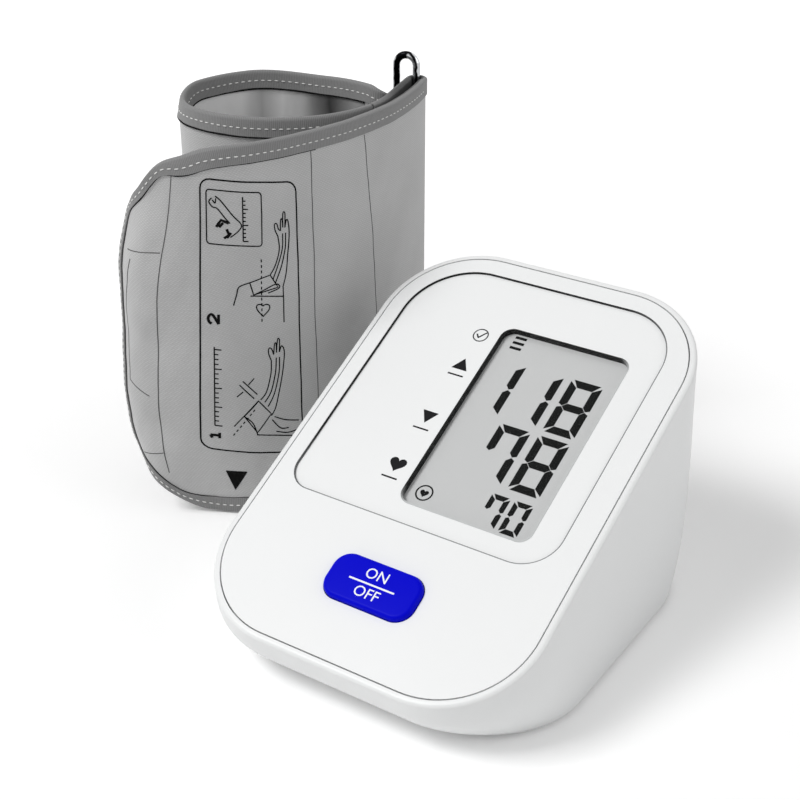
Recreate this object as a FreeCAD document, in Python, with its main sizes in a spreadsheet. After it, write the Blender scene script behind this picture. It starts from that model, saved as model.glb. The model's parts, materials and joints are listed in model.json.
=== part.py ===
import FreeCAD, Part
import math
import os
import re

import Sketcher

# Upper-arm blood pressure monitor: a desk unit with a sloped face, and its arm cuff standing behind it.
# Millimetres, +Z up, +Y to the rear. The origin is the centre of the unit's four feet on the table.

Vector = FreeCAD.Vector
doc = FreeCAD.newDocument("blood_pressure_monitor")
sizes = doc.addObject("Spreadsheet::Sheet", "sizes")
aliases = {}


def dimensions(values):
    for alias, number in values.items():
        row = len(aliases) + 1
        sizes.set(f"A{row}", alias)
        sizes.set(f"B{row}", str(number))
        sizes.setAlias(f"B{row}", alias)
        aliases[alias] = number
    sizes.recompute()


# The face plane: a slope whose front edge is the line y = rim_front, z = front_height.
case_sizes = {
    "face_angle": 26.5, "rim_width": 99, "rim_length": 140, "rim_radius": 28.1, "rim_front": -64.5,
    "front_height": 17.5, "rim_wall": 1.9, "rim_round": 1.1, "ledge_width": 1.5,
}
# The case wall below the rim: its waist and its belt, each on a plane of its own slope, and the footprint.
wall_sizes = {
    "waist_angle": 17.25, "waist_spread": 3.4, "waist_near": 1.8, "waist_back": 8.6,
    "waist_radius": 29, "waist_height": 12.25, "belt_angle": 8, "belt_spread": 5, "belt_near": 5,
    "belt_back": 13.5, "belt_radius": 29.5, "belt_height": 7, "base_spread": 4, "base_inset": 14.3,
    "base_back": 5.79, "base_radius": 27.5, "foot_height": 1.2, "shell_wall": 2.2,
}
cover_sizes = {
    "cover_thick": 2.2, "cover_gap": 0.4, "skirt_wall": 1.3, "skirt_depth": 3, "skirt_front": 1.2,
    "skirt_rear": 2.6, "fit_gap": 0.3, "face_contact": 0.05, "seat_gap": 0.1,
}
# Display: the recessed label panel, and the window in it. Corners are named as seen from above the face.
display_sizes = {
    "panel_left_edge": 7, "panel_right_edge": 9.5, "panel_front": 45.2, "panel_rear_edge": 7.4,
    "panel_depth": 1.4, "panel_top": 0.6, "panel_front_left": 7.5, "panel_front_right": 11.2,
    "panel_rear_right": 16.7, "panel_rear_left": 20.5, "gasket_wall": 0.35, "gasket_top": 0.1,
    "window_left": -8.6, "window_right": 30.9, "window_front": 52.1, "window_rear": 115.5,
    "window_radius": 3.3, "bezel_wall": 0.45, "bezel_top": 0.5, "lens_top": 0.9, "lens_thick": 0.6,
    "glass_margin": 2.5, "glass_end": 3.6, "glass_thick": 2, "reflector_thick": 0.85,
    "zebra_width": 2, "holder_wall": 1.3,
}
button_sizes = {
    "button_width": 27.4, "button_front": 18.3, "button_rear": 32.1, "button_radius": 5,
    "button_height": 1.6, "button_round": 1.2, "button_gap": 0.25, "flange_width": 1.2,
    "flange_thick": 1.2, "stem_radius": 3, "stem_length": 2.1, "button_travel": 0.8,
    "switch_width": 6.2, "plunger_radius": 1.75, "plunger_length": 2.2, "plunger_gap": 0.1,
}
board_sizes = {
    "board_top": 10, "board_thick": 1.6, "board_width": 72, "board_front": 12, "board_back": 12.4,
    "board_radius": 3, "board_rear_radius": 8, "boss_radius": 2.8, "boss_edge": 5, "boss_front": 18,
    "boss_step": 6.4, "boss_inset": 3.2, "screw_radius": 1.05, "screw_head": 2.4,
    "screw_head_thick": 1.5, "screw_length": 5, "screw_gap": 0.05, "clear_hole": 1.4,
    "sensor_width": 7, "sensor_height": 3, "sensor_barb": 3,
    "buzzer_edge": 14, "buzzer_slope": 36, "buzzer_radius": 6, "buzzer_height": 4, "buzzer_hole": 1,
    "capacitor_edge": 11, "capacitor_step": 9, "capacitor_row": 50, "capacitor_radius": 2.6,
    "capacitor_height": 6.5,
}
# Battery compartment: four AA cells side by side, along Y.
battery_sizes = {
    "plate_thick": 2.2, "cell_radius": 7.1, "cell_length": 49, "nub_radius": 2.7, "nub_length": 1.3,
    "cell_gap": 0.4, "cell_height": 11, "bay_back": 62.5, "bay_slack": 8, "bay_clear": 1,
    "bay_wall": 1.5, "bay_head": 1.3, "shelf_left": -36, "contact_thick": 0.4, "contact_half": 5,
    "contact_low": 6, "contact_high": 16, "contact_turns": 4, "contact_wire": 0.4,
    "contact_coil": 3.2, "cell_rib": 1.2, "cell_rib_drop": 3.2, "door_thick": 2, "door_gap": 0.3,
    "hook_width": 4, "hook_reach": 2.5, "hook_thick": 1.2, "hook_root": 1.1,
    "slot_height": 4.6, "foot_radius": 4, "foot_seat": 0.4, "front_foot_inset": 19.5,
    "front_foot_back": 14.2, "rear_foot_inset": 11.5, "rear_foot_front": 19, "post_inset": 6.5,
    "post_front": -18,
    "post_back": 31, "post_radius": 3.6, "post_height": 11.6, "post_reach": 5.2, "case_screw": 1.4,
    "case_head": 2.8, "case_head_thick": 1.25, "case_head_sink": 1.4, "case_screw_length": 8.5,
}
# Air pump, lying along X on the battery shelf, and the release valve, manifold and jack beside it.
pump_sizes = {
    "pump_back": 13, "pump_lift": 0.8, "pump_left": -18, "pump_split": 8, "pump_radius": 13.5,
    "pump_bore": 12.04, "head_thick": 10, "motor_seat": 3, "can_length": 28, "can_radius": 12,
    "can_wall": 0.8, "shaft_radius": 1, "running_gap": 0.05, "shaft_left": 3, "armature_radius": 8,
    "armature_length": 17, "armature_start": 13, "commutator_radius": 3, "commutator_length": 3,
    "magnet_gap": 0.6, "magnet_slit": 6, "end_cap_thick": 2.5, "eccentric_radius": 4,
    "eccentric_thick": 4, "crank_offset": 2.2, "crank_radius": 0.75, "crank_length": 3,
    "wobble_radius": 9.5, "wobble_thick": 1.5, "wobble_boss": 4.5, "wobble_boss_length": 5,
    "orbit_gap": 0.25, "diaphragm_thick": 1.2, "cup_radius": 3, "cup_height": 2.8, "cup_circle": 6.5,
    "rubber_gap": 0.3, "cradle_left": -14, "cradle_right": 31, "cradle_half": 9, "cradle_height": 7,
}
air_sizes = {
    "port_height": 27.9, "port_back": 34.5, "barb_radius": 1.2, "barb_bore": 0.6, "barb_length": 3.5,
    "chamber_radius": 1.5,
    "hose_radius": 2.1, "hose_bore": 1.25, "hose_bend": 6, "sensor_bend": 8,
    "hose_end": 0.4, "manifold_half": 3, "valve_left": 0, "valve_length": 22,
    "valve_half": 7, "valve_wall": 1.4, "coil_radius": 5.4, "coil_bore": 2.75, "armature_pin": 2.68,
    "pin_left": -2, "pin_right": 15, "nozzle_left": -6, "nozzle_radius": 5,
    "nozzle_bore": 3.2, "nozzle_wall": 2.5, "seat_radius": 1.5, "seat_length": 0.6,
    "valve_coil_radius": 1.9, "valve_wire": 0.4, "valve_turns": 5, "jack_proud": 2.4,
    "jack_radius": 4.5, "jack_behind": 5, "jack_seat": 0.35, "jack_bore": 2.1, "jack_depth": 6,
    "jack_flange": 6.2,
    "jack_flange_thick": 1.2, "jack_hole_gap": 0.1, "power_x": -24,
    "power_height": 29, "power_half": 4.5, "power_depth_in": 13.3, "power_rear_gap": 3.5, "power_top": 34.5,
    "power_collar": 4, "power_proud": 0.2, "power_bore": 2.8, "power_pin": 1, "power_depth": 9,
}
# Cuff: a padded sleeve wound to an oval, a D-ring at its seam and a strap that turns back round the ring.
cuff_sizes = {
    "cuff_height": 120, "cuff_off": 46.5, "cuff_centre_y": 50, "cuff_turn": 36.9,
    "oval_long": 30.5, "oval_short": 22.5, "oval_end": 16, "cloth": 1, "bladder_thick": 0.9,
    "sleeve_gap": 0.05, "bladder_inset": 12, "bladder_margin": 8, "lead_in": 3, "lead_radius": 2.5,
    "hem": 0.5,
    "tape_width": 5.4, "tape_wall": 0.45, "tape_gap": 0.05, "tape_start": 2, "ring_turn": 15,
    "ring_side": 23.49, "ring_back": 38.83, "ring_span": 6.6, "ring_wire": 1.2, "ring_floor": 0.1,
    "ring_over": 8, "ring_gap": 0.2,
    "ring_relief": 7.6, "relief_height": 6.4, "strap_thick": 1.6, "flap_heading": 291.2,
    "flap_radius": 95, "flap_sweep": 50.2, "tip_radius": 45, "tip_sweep": 50, "tip_corner": 27,
    "peel_gap": 0.15, "peel_lift": 0.3, "patch_thick": 0.7, "patch_low": 30, "patch_high": 90,
    "patch_start": 4, "patch_sweep": 35, "nipple_height": 30, "nipple_radius": 4.2,
    "nipple_flange": 1, "nipple_stub": 2.4, "nipple_length": 9, "nipple_bore": 1.4,
}


for group_of_sizes in (case_sizes, wall_sizes, cover_sizes, display_sizes, button_sizes, board_sizes,
                       battery_sizes, pump_sizes, air_sizes, cuff_sizes):
    dimensions(group_of_sizes)

# What follows from the sizes above.
follows = {
    "rim_rear": "rim_front + rim_length * cos(face_angle)",
    "waist_width": "rim_width + waist_spread", "waist_far": "rim_length - waist_back",
    "belt_width": "rim_width + belt_spread", "belt_far": "rim_length - belt_back",
    "base_width": "rim_width + base_spread",
    "base_front": "rim_front + base_inset", "base_rear": "rim_rear - base_back",
    "panel_left": "panel_left_edge - rim_width / 2", "panel_right": "rim_width / 2 - panel_right_edge",
    "panel_rear": "rim_length - panel_rear_edge",
    "board_rear": "rim_length - board_back", "boss_side": "board_width / 2 - boss_edge",
    "boss_rear": "board_rear - boss_inset", "boss_middle": "boss_rear - boss_step",
    "buzzer_side": "board_width / 2 - buzzer_edge", "capacitor_right": "board_width / 2 - capacitor_edge",
    "capacitor_left": "capacitor_right - capacitor_step",
    "post_rear": "base_rear - post_back",
    "bay_front": "base_rear - bay_back", "pump_y": "base_rear - pump_back", "port_y": "base_rear - port_back",
    "cell_pitch": "2 * cell_radius + cell_gap", "bay_half": "2 * cell_pitch + bay_clear",
    "bay_length": "cell_length + bay_slack", "bay_top": "cell_height + cell_radius + bay_head",
    "hook_near": "cell_pitch - hook_width / 2", "hook_far": "cell_pitch + hook_width / 2",
    "front_foot_side": "base_width / 2 - front_foot_inset", "front_foot_y": "base_front + front_foot_back",
    "rear_foot_side": "base_width / 2 - rear_foot_inset", "rear_foot_y": "base_rear - rear_foot_front",
    "post_side": "base_width / 2 - post_inset",
    "jack_end": "-rim_width / 2 - jack_proud", "jack_inner": "jack_behind - rim_width / 2",
    "jack_flange_left": "jack_seat - rim_width / 2",
    "manifold_x": "(jack_inner + pump_left) / 2", "sensor_side": "manifold_x",
    "power_front": "rim_rear - power_depth_in", "power_rear": "rim_rear - power_rear_gap",
    "power_collar_end": "rim_rear + power_proud",
    # The sensor's hose turns halfway between the manifold and the sensor's own port.
    "sensor_drop": "board_top + board_thick + sensor_height + hose_end",
    "sensor_hose_top": "front_height + (port_y - rim_front) * tan(face_angle) - sensor_drop / cos(face_angle)",
    "sensor_corner": "(port_height + manifold_half + hose_end + sensor_hose_top) / 2",
    "sensor_slope": "(port_y - rim_front) * cos(face_angle) + (sensor_corner - front_height) * sin(face_angle)",
    "cuff_centre_x": "-rim_width / 2 - cuff_off", "ring_high": "cuff_height + ring_over",
}


def bound(text):
    """A spreadsheet expression from plain text, where each size stands by its own name."""
    def spelled(word):
        name = word.group()
        if name in follows:
            return f"({bound(follows[name])})"
        return f"sizes.{name}" if name in aliases else name
    return re.sub(r"[A-Za-z_]\w*", spelled, text)


def number(text):
    return float(sizes.evalExpression(bound(text)))


def bind(item, **properties):
    for name, text in properties.items():
        item.setExpression(name, bound(text))
    return item


def place(item, x="0", y="0", z="0"):
    for axis, text in zip("xyz", (x, y, z)):
        if text != "0":
            item.setExpression(f"Placement.Base.{axis}", bound(text))
    return item


def on_face(item):
    """Sets a piece, drawn with z = 0 on the face, on the slope of the case."""
    if item.TypeId in ("Part::Box", "Part::Cylinder"):
        item = group(item.Name + "_piece", item)
    item.Placement = FreeCAD.Placement(Vector(), FreeCAD.Rotation(Vector(1, 0, 0), aliases["face_angle"]))
    item.setExpression("Placement.Rotation.Angle", bound("face_angle"))
    return place(item, y="rim_front", z="front_height")


def box(name, x, y, z):
    item = doc.addObject("Part::Box", name)
    bind(item, Length=f"{x[1]} - ({x[0]})", Width=f"{y[1]} - ({y[0]})", Height=f"{z[1]} - ({z[0]})")
    return place(item, x[0], y[0], z[0])


turns = {
    "+x": FreeCAD.Rotation(Vector(0, 1, 0), 90), "-x": FreeCAD.Rotation(Vector(0, 1, 0), -90),
    "+y": FreeCAD.Rotation(Vector(1, 0, 0), -90), "-y": FreeCAD.Rotation(Vector(1, 0, 0), 90),
    "+z": FreeCAD.Rotation(), "-z": FreeCAD.Rotation(Vector(1, 0, 0), 180),
}


def rod(name, radius, start, length, toward="+z"):
    item = doc.addObject("Part::Cylinder", name)
    item.Placement = FreeCAD.Placement(Vector(), turns[toward])
    bind(item, Radius=radius, Height=length)
    return place(item, *start)


def fuse(name, *parts):
    item = doc.addObject("Part::MultiFuse", name)
    item.Shapes = list(parts)
    return item


def cut(name, base, *tools):
    item = doc.addObject("Part::Cut", name)
    item.Base = base
    item.Tool = tools[0] if len(tools) == 1 else fuse(name + "_tools", *tools)
    return item


def group(name, *parts):
    item = doc.addObject("Part::Compound", name)
    item.Links = list(parts)
    return item


def tube(name, outer, inner, start, length, toward="+z"):
    return cut(name, rod(name + "_outside", outer, start, length, toward),
               rod(name + "_inside", inner, start, length, toward))


def plane(body, role="XY_Plane"):
    return next(item for item in body.Origin.OriginFeatures if item.Role == role)


def outline(body, name, left, right, front, rear, radii, height="0", slope=None, pivot=None):
    """A rounded rectangle on a plane of the body. radii: front right, rear right, rear left, front left."""
    sketch = body.newObject("Sketcher::SketchObject", name)
    sketch.AttachmentSupport = [(plane(body), "")]
    sketch.MapMode = "FlatFace"
    if slope:
        sketch.AttachmentOffset = FreeCAD.Placement(
            Vector(), FreeCAD.Rotation(Vector(1, 0, 0), number(slope)))
        bind(sketch, **{"AttachmentOffset.Rotation.Angle": slope})
    if pivot:
        bind(sketch, **{"AttachmentOffset.Base.y": pivot})
    if height != "0":
        bind(sketch, **{"AttachmentOffset.Base.z": height})
    radii = [radii] * 4 if isinstance(radii, str) else radii
    x0, x1, y0, y1 = (number(text) for text in (left, right, front, rear))
    r = [number(text) for text in radii]
    corners = [(x1 - r[0], y0 + r[0]), (x1 - r[1], y1 - r[1]), (x0 + r[2], y1 - r[2]), (x0 + r[3], y0 + r[3])]
    for side in range(4):
        (ax, ay), (bx, by) = corners[side - 1], corners[side]
        away = math.radians(90 * side - 90)
        reach = (r[side - 1], r[side])
        sketch.addGeometry(Part.LineSegment(
            Vector(ax + reach[0] * math.cos(away), ay + reach[0] * math.sin(away), 0),
            Vector(bx + reach[1] * math.cos(away), by + reach[1] * math.sin(away), 0)))
        circle = Part.Circle(Vector(bx, by, 0), Vector(0, 0, 1), r[side])
        sketch.addGeometry(Part.ArcOfCircle(circle, away, away + math.pi / 2))
    for step in range(8):
        sketch.addConstraint(Sketcher.Constraint("Tangent", step, 2, (step + 1) % 8, 1))
    for line, kind in ((0, "Horizontal"), (2, "Vertical"), (4, "Horizontal"), (6, "Vertical")):
        sketch.addConstraint(Sketcher.Constraint(kind, line))
    limits = (("DistanceY", 0, front), ("DistanceX", 2, right), ("DistanceY", 4, rear),
              ("DistanceX", 6, left))
    for kind, line, text in limits:
        index = sketch.addConstraint(Sketcher.Constraint(kind, -1, 1, line, 1, number(text)))
        sketch.setExpression(f"Constraints[{index}]", bound(text))
    for arc, text in zip((1, 3, 5, 7), radii):
        index = sketch.addConstraint(Sketcher.Constraint("Radius", arc, number(text)))
        sketch.setExpression(f"Constraints[{index}]", bound(text))
    return sketch


def slab(name, left, right, front, rear, radii, low, high):
    """A plate with rounded corners, from z = low to z = high."""
    body = doc.addObject("PartDesign::Body", name)
    sketch = outline(body, name + "_outline", left, right, front, rear, radii, height=low)
    pad = body.newObject("PartDesign::Pad", name + "_pad")
    pad.Profile = sketch
    bind(pad, Length=f"{high} - ({low})")
    return body


def frame(name, inset, left, right, front, rear, radii, low, high):
    """A flat ring between an outline and the same outline moved in by inset."""
    radii = [radii] * 4 if isinstance(radii, str) else radii
    outside = slab(name + "_outside", left, right, front, rear, radii, low, high)
    inside = slab(name + "_inside", f"{left} + {inset}", f"{right} - {inset}", f"{front} + {inset}",
                  f"{rear} - {inset}", [f"{radius} - {inset}" for radius in radii], low, high)
    return cut(name, outside, inside)


nodes = {}


def node(name, item):
    item.Label = name
    nodes[name] = item
    return item


# ---- Case ----

def rim_outline(body, name, inset, height, front="0", rear="0"):
    """The rim's rounded rectangle, moved in by inset, on the plane that lies height above the face."""
    return outline(body, name, f"{inset} - rim_width / 2", f"rim_width / 2 - ({inset})",
                   f"{inset} + {front}", f"rim_length - ({inset}) - {rear}", f"rim_radius - ({inset})",
                   height=f"front_height + ({height}) * cos(face_angle)", slope="face_angle",
                   pivot=f"rim_front - ({height}) * sin(face_angle)")


def belt_outline(body, name, inset):
    return outline(body, name, f"{inset} - belt_width / 2", f"belt_width / 2 - {inset}",
                   f"belt_near + {inset}", f"belt_far - {inset}", f"belt_radius - {inset}",
                   height="belt_height", slope="belt_angle", pivot="rim_front")


def base_outline(body, name, inset, height):
    return outline(body, name, f"{inset} - base_width / 2", f"base_width / 2 - {inset}",
                   f"base_front + {inset}", f"base_rear - {inset}", f"base_radius - {inset}", height=height)


def loft(body, kind, name, sections):
    item = body.newObject(kind, name)
    item.Profile = sections[0]
    item.Sections = sections[1:]
    item.Ruled = False
    doc.recompute()
    return item


def waist_outline(body, name, inset):
    return outline(body, name, f"{inset} - waist_width / 2", f"waist_width / 2 - {inset}",
                   f"waist_near + {inset}", f"waist_far - {inset}", f"waist_radius - {inset}",
                   height="waist_height", slope="waist_angle", pivot="rim_front")


def side_shell():
    body = doc.addObject("PartDesign::Body", "case_wall")
    loft(body, "PartDesign::AdditiveLoft", "case_outside", [
        base_outline(body, "footprint", "0", "foot_height"), belt_outline(body, "belt", "0"),
        waist_outline(body, "waist", "0"), rim_outline(body, "rim", "0", "-rim_round")])
    loft(body, "PartDesign::AdditiveLoft", "rim_crown", [
        rim_outline(body, f"crown_{turn}", f"rim_round * (1 - cos({turn}))", f"rim_round * (sin({turn}) - 1)")
        for turn in (0, 30, 60, 90)])
    loft(body, "PartDesign::SubtractiveLoft", "case_inside", [
        base_outline(body, "inner_footprint", "shell_wall", "foot_height - seat_gap"),
        belt_outline(body, "inner_belt", "shell_wall"), waist_outline(body, "inner_waist", "shell_wall"),
        rim_outline(body, "ledge", "rim_wall + ledge_width", "-cover_thick")])
    seat = body.newObject("PartDesign::Pocket", "cover_seat")
    seat.Profile = rim_outline(body, "cover_seat_outline", "rim_wall", "seat_gap")
    bind(seat, Length="cover_thick + seat_gap")
    doc.recompute()
    posts = []
    for side in (-1, 1):
        for row in ("front", "rear"):
            name = f"post_{row}_{'left' if side < 0 else 'right'}"
            start = (f"{side} * post_side", f"post_{row}", "foot_height + plate_thick")
            posts.append(rod(name, "post_radius", start, "post_height"))
            reach = sorted((f"{side} * post_side", f"{side} * (post_side + post_reach)"), key=number)
            posts.append(box(name + "_web", reach, (f"post_{row} - 1", f"post_{row} + 1"),
                             ("foot_height + plate_thick", "foot_height + plate_thick + post_height")))
    holes = [rod(f"post_hole_{index}", "case_screw + screw_gap",
                 (f"{side} * post_side", f"post_{row}", "foot_height"), "plate_thick + post_height - 1")
             for index, (side, row) in enumerate((side, row) for side in (-1, 1)
                                                 for row in ("front", "rear"))]
    jack_hole = rod("jack_hole", "jack_radius + jack_hole_gap", ("jack_end - 5", "port_y", "port_height"),
                    "12", "+x")
    power_hole = rod("power_hole", "power_collar + jack_hole_gap",
                     ("power_x", "power_rear - 3", "power_height"), "12", "+y")
    node("side_shell", cut("side_shell", fuse("case_with_posts", body, *posts), *holes, jack_hole,
                           power_hole))


def cover_plate(name, inset, low, high, front="0", rear="0"):
    edge = f"rim_wall + {inset}"
    return slab(name, f"{edge} - rim_width / 2", f"rim_width / 2 - ({edge})", f"{edge} + {front}",
                f"rim_length - ({edge}) - {rear}", f"rim_radius - ({edge})", low, high)


panel = ("panel_left", "panel_right", "panel_front", "panel_rear",
         ["panel_front_right", "panel_rear_right", "panel_rear_left", "panel_front_left"])
window = ("window_left", "window_right", "window_front", "window_rear")


def widened(sides, margin):
    left, right, front, rear = sides
    return f"{left} - ({margin})", f"{right} + {margin}", f"{front} - ({margin})", f"{rear} + {margin}"


def window_cut(name):
    return slab(name, *widened(window, "bezel_wall"), "window_radius + bezel_wall", "-board_top", "seat_gap")


bosses = (("-boss_side", "boss_front"), ("boss_side", "boss_front"),
          ("-boss_side", "boss_middle"), ("boss_side", "boss_rear"))


def face_cover():
    plate = cover_plate("cover_plate", "cover_gap", "-cover_thick", "0")
    ledge = "ledge_width + cover_gap"
    skirt = cut("cover_skirt",
                cover_plate("skirt_outside", ledge, "-cover_thick - skirt_depth", "-cover_thick",
                            "skirt_front", "skirt_rear"),
                cover_plate("skirt_inside", ledge + " + skirt_wall", "-cover_thick - skirt_depth",
                            "-cover_thick", "skirt_front", "skirt_rear"))
    pocket = slab("panel_pocket", *panel, "-panel_depth", "seat_gap")
    hole = slab("button_hole", "-button_width / 2 - button_gap", "button_width / 2 + button_gap",
                "button_front - button_gap", "button_rear + button_gap", "button_radius + button_gap",
                "-board_top", "seat_gap")
    posts = [rod(f"board_boss_{index}", "boss_radius", (x, y, "-board_top"), "board_top - cover_thick")
             for index, (x, y) in enumerate(bosses)]
    threads = [rod(f"board_thread_{index}", "screw_radius + screw_gap", (x, y, "-board_top"),
                   "screw_length + 0.6") for index, (x, y) in enumerate(bosses)]
    solid = fuse("cover_solid", plate, skirt, *posts)
    node("face_cover", on_face(cut("face_cover", solid, pocket, window_cut("cover_window"), hole, *threads)))


def display():
    gasket = frame("panel_gasket", "gasket_wall", *panel, "-panel_depth", "-gasket_top")
    node("panel_gasket", on_face(gasket))
    left, right, front, rear, radii = panel
    inset = "gasket_wall"
    plate = slab("panel_plate", f"{left} + {inset}", f"{right} - {inset}", f"{front} + {inset}",
                 f"{rear} - {inset}", [f"{radius} - {inset}" for radius in radii], "-panel_depth",
                 "-panel_top")
    node("display_panel", on_face(cut("display_panel", plate, window_cut("panel_window"))))
    bezel = frame("window_bezel", "bezel_wall", *widened(window, "bezel_wall"), "window_radius + bezel_wall",
                  "-cover_thick - seat_gap", "-bezel_top")
    node("window_bezel", on_face(bezel))
    lens = slab("window_lens", *widened(window, "-face_contact"), "window_radius - face_contact",
                "-lens_top - lens_thick", "-lens_top")
    node("window_lens", on_face(lens))
    glass = ("window_left - glass_margin", "window_right + glass_margin",
             "window_front - glass_end", "window_rear + glass_end")
    glass_top = "-cover_thick - seat_gap"
    node("lcd_glass", on_face(box("lcd_glass", glass[:2], glass[2:],
                                  (f"{glass_top} - glass_thick", glass_top))))
    under = f"{glass_top} - glass_thick"
    inner = (f"{glass[2]} + zebra_width + 1", f"{glass[3]} - zebra_width - 1")
    node("lcd_reflector", on_face(box("lcd_reflector", (f"{glass[0]} + fit_gap", f"{glass[1]} - fit_gap"),
                                      inner,
                                      (f"{under} - reflector_thick", under))))
    strips = [box(f"zebra_{place_name}", (f"{glass[0]} + 2", f"{glass[1]} - 2"), span, ("-board_top", under))
              for place_name, span in (("front", (f"{glass[2]} + fit_gap",
                                                  f"{glass[2]} + fit_gap + zebra_width")),
                                       ("rear", (f"{glass[3]} - fit_gap - zebra_width",
                                                 f"{glass[3]} - fit_gap")))]
    node("zebra_strips", on_face(group("zebra_strips", *strips)))
    hollow = widened(glass, "fit_gap")
    outer = widened(glass, "fit_gap + holder_wall")
    wall = cut("holder_wall_ring", box("holder_outside", outer[:2], outer[2:], ("-board_top", glass_top)),
               box("holder_inside", hollow[:2], hollow[2:], ("-board_top", glass_top)))
    floor = box("holder_floor", hollow[:2], inner, ("-board_top + 3", f"{under} - reflector_thick"))
    node("lcd_holder", on_face(fuse("lcd_holder", wall, floor)))


def start_button():
    low = "-cover_thick - flange_thick"
    cap = doc.addObject("PartDesign::Body", "button_cap")
    sketch = outline(cap, "button_outline", "-button_width / 2", "button_width / 2", "button_front",
                     "button_rear", "button_radius", height="-cover_thick")
    pad = cap.newObject("PartDesign::Pad", "button_pad")
    pad.Profile = sketch
    bind(pad, Length="cover_thick + button_height")
    doc.recompute()
    top = max(range(len(pad.Shape.Faces)), key=lambda index: pad.Shape.Faces[index].CenterOfMass.z)
    crown = cap.newObject("PartDesign::Fillet", "button_crown")
    crown.Base = (pad, [f"Face{top + 1}"])
    bind(crown, Radius="button_round")
    flange = slab("button_flange", "-button_width / 2 - flange_width", "button_width / 2 + flange_width",
                  "button_front - flange_width", "button_rear + flange_width", "button_radius + flange_width",
                  low, "-cover_thick")
    middle = "(button_front + button_rear) / 2"
    stem = rod("button_stem", "stem_radius", ("0", middle, low), "stem_length", "-z")
    node("start_button", on_face(fuse("start_button", cap, flange, stem)))
    tip = f"({low} - stem_length)"
    node("switch_plunger", on_face(rod("switch_plunger", "plunger_radius", ("0", middle, tip),
                                       "plunger_length", "-z")))
    housing = box("switch_housing", ("-switch_width / 2", "switch_width / 2"),
                  (f"{middle} - switch_width / 2", f"{middle} + switch_width / 2"),
                  ("-board_top", f"{tip} - button_travel - 0.3"))
    bore = rod("switch_bore", "plunger_radius + plunger_gap", ("0", middle, "0"),
               f"-({tip}) + plunger_length + button_travel + 0.2", "-z")
    node("switch_body", on_face(cut("switch_body", housing, bore)))


# Chips soldered under the board: x and y of the middle, length along x, width and height.
chip_layout = {
    "controller_chip": (6, 70, 12, 12, 1.6),
    "memory_chip": (-10, 62, 5, 4, 1.3),
    "amplifier_chip": (-18, 84, 5, 4, 1.3),
    "motor_driver": (24, 88, 5, 4, 1.3),
    "regulator_chip": (24, 62, 4.5, 6.5, 1.6),
}
crystal_layout = (-6, 78, 9, 3.6, 3.2)
resistor_grid = (-6, 44, 3.6, 4)
resistor_size = (2, 1.2, 0.6)


def main_board():
    plate = slab("board_plate", "-board_width / 2", "board_width / 2", "board_front", "board_rear",
                 ["board_radius", "board_rear_radius", "board_rear_radius", "board_radius"],
                 "-board_top - board_thick", "-board_top")
    holes = [rod(f"board_hole_{index}", "clear_hole", (x, y, "-board_top - board_thick - 1"),
                 "board_thick + 2")
             for index, (x, y) in enumerate(bosses)]
    node("main_board", on_face(cut("main_board", plate, *holes)))
    under = "(-board_top - board_thick)"

    def chip(name, x, y, long, wide, tall):
        return box(name, (f"{x} - {long} / 2", f"{x} + {long} / 2"),
                   (f"{y} - {wide} / 2", f"{y} + {wide} / 2"),
                   (f"{under} - {tall}", under))

    chips = [chip(name, *layout) for name, layout in chip_layout.items()]
    node("board_chips", on_face(group("board_chips", *chips)))
    x, y, along, up = resistor_grid
    small = [chip(f"resistor_{column}_{row}", x + along * column, y + up * row, *resistor_size)
             for column in range(4) for row in range(2)]
    cans = [rod(f"capacitor_{index}", "capacitor_radius", (spot, "capacitor_row", under),
                "capacitor_height", "-z")
            for index, spot in enumerate(("capacitor_left", "capacitor_right"))]
    node("board_passives", on_face(group("board_passives", *small, *cans)))
    node("crystal_can", on_face(chip("crystal", *crystal_layout)))
    sensor = fuse("sensor_solid", chip("sensor_box", "sensor_side", "sensor_slope", "sensor_width",
                                       "sensor_width", "sensor_height"),
                  rod("sensor_barb", "barb_radius", ("sensor_side", "sensor_slope",
                                                     f"{under} - sensor_height"),
                      "sensor_barb", "-z"))
    duct = rod("sensor_duct", "barb_bore", ("sensor_side", "sensor_slope", f"{under} - 1"),
               "sensor_height + sensor_barb", "-z")
    node("pressure_sensor", on_face(cut("pressure_sensor", sensor, duct)))
    buzzer_spot = ("buzzer_side", "buzzer_slope")
    buzzer = cut("buzzer", rod("buzzer_can", "buzzer_radius", (*buzzer_spot, under), "buzzer_height", "-z"),
                 rod("buzzer_mouth", "buzzer_hole", (*buzzer_spot, f"{under} - buzzer_height + 1"), "2",
                     "-z"))
    node("buzzer", on_face(buzzer))
    screws = []
    for index, (x, y) in enumerate(bosses):
        screws.append(fuse(f"board_screw_{index}",
                           rod(f"board_screw_head_{index}", "screw_head", (x, y, under),
                               "screw_head_thick", "-z"),
                           rod(f"board_screw_shank_{index}", "screw_radius", (x, y, under),
                               "screw_length + board_thick")))
    node("board_screws", on_face(group("board_screws", *screws)))


# ---- Underside and batteries ----

corners = [(side, row) for side in (-1, 1) for row in ("front", "rear")]
cell_columns = (-1.5, -0.5, 0.5, 1.5)
bay_rear = "(bay_front + bay_length)"
shelf_top = "(bay_top + bay_wall)"


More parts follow.
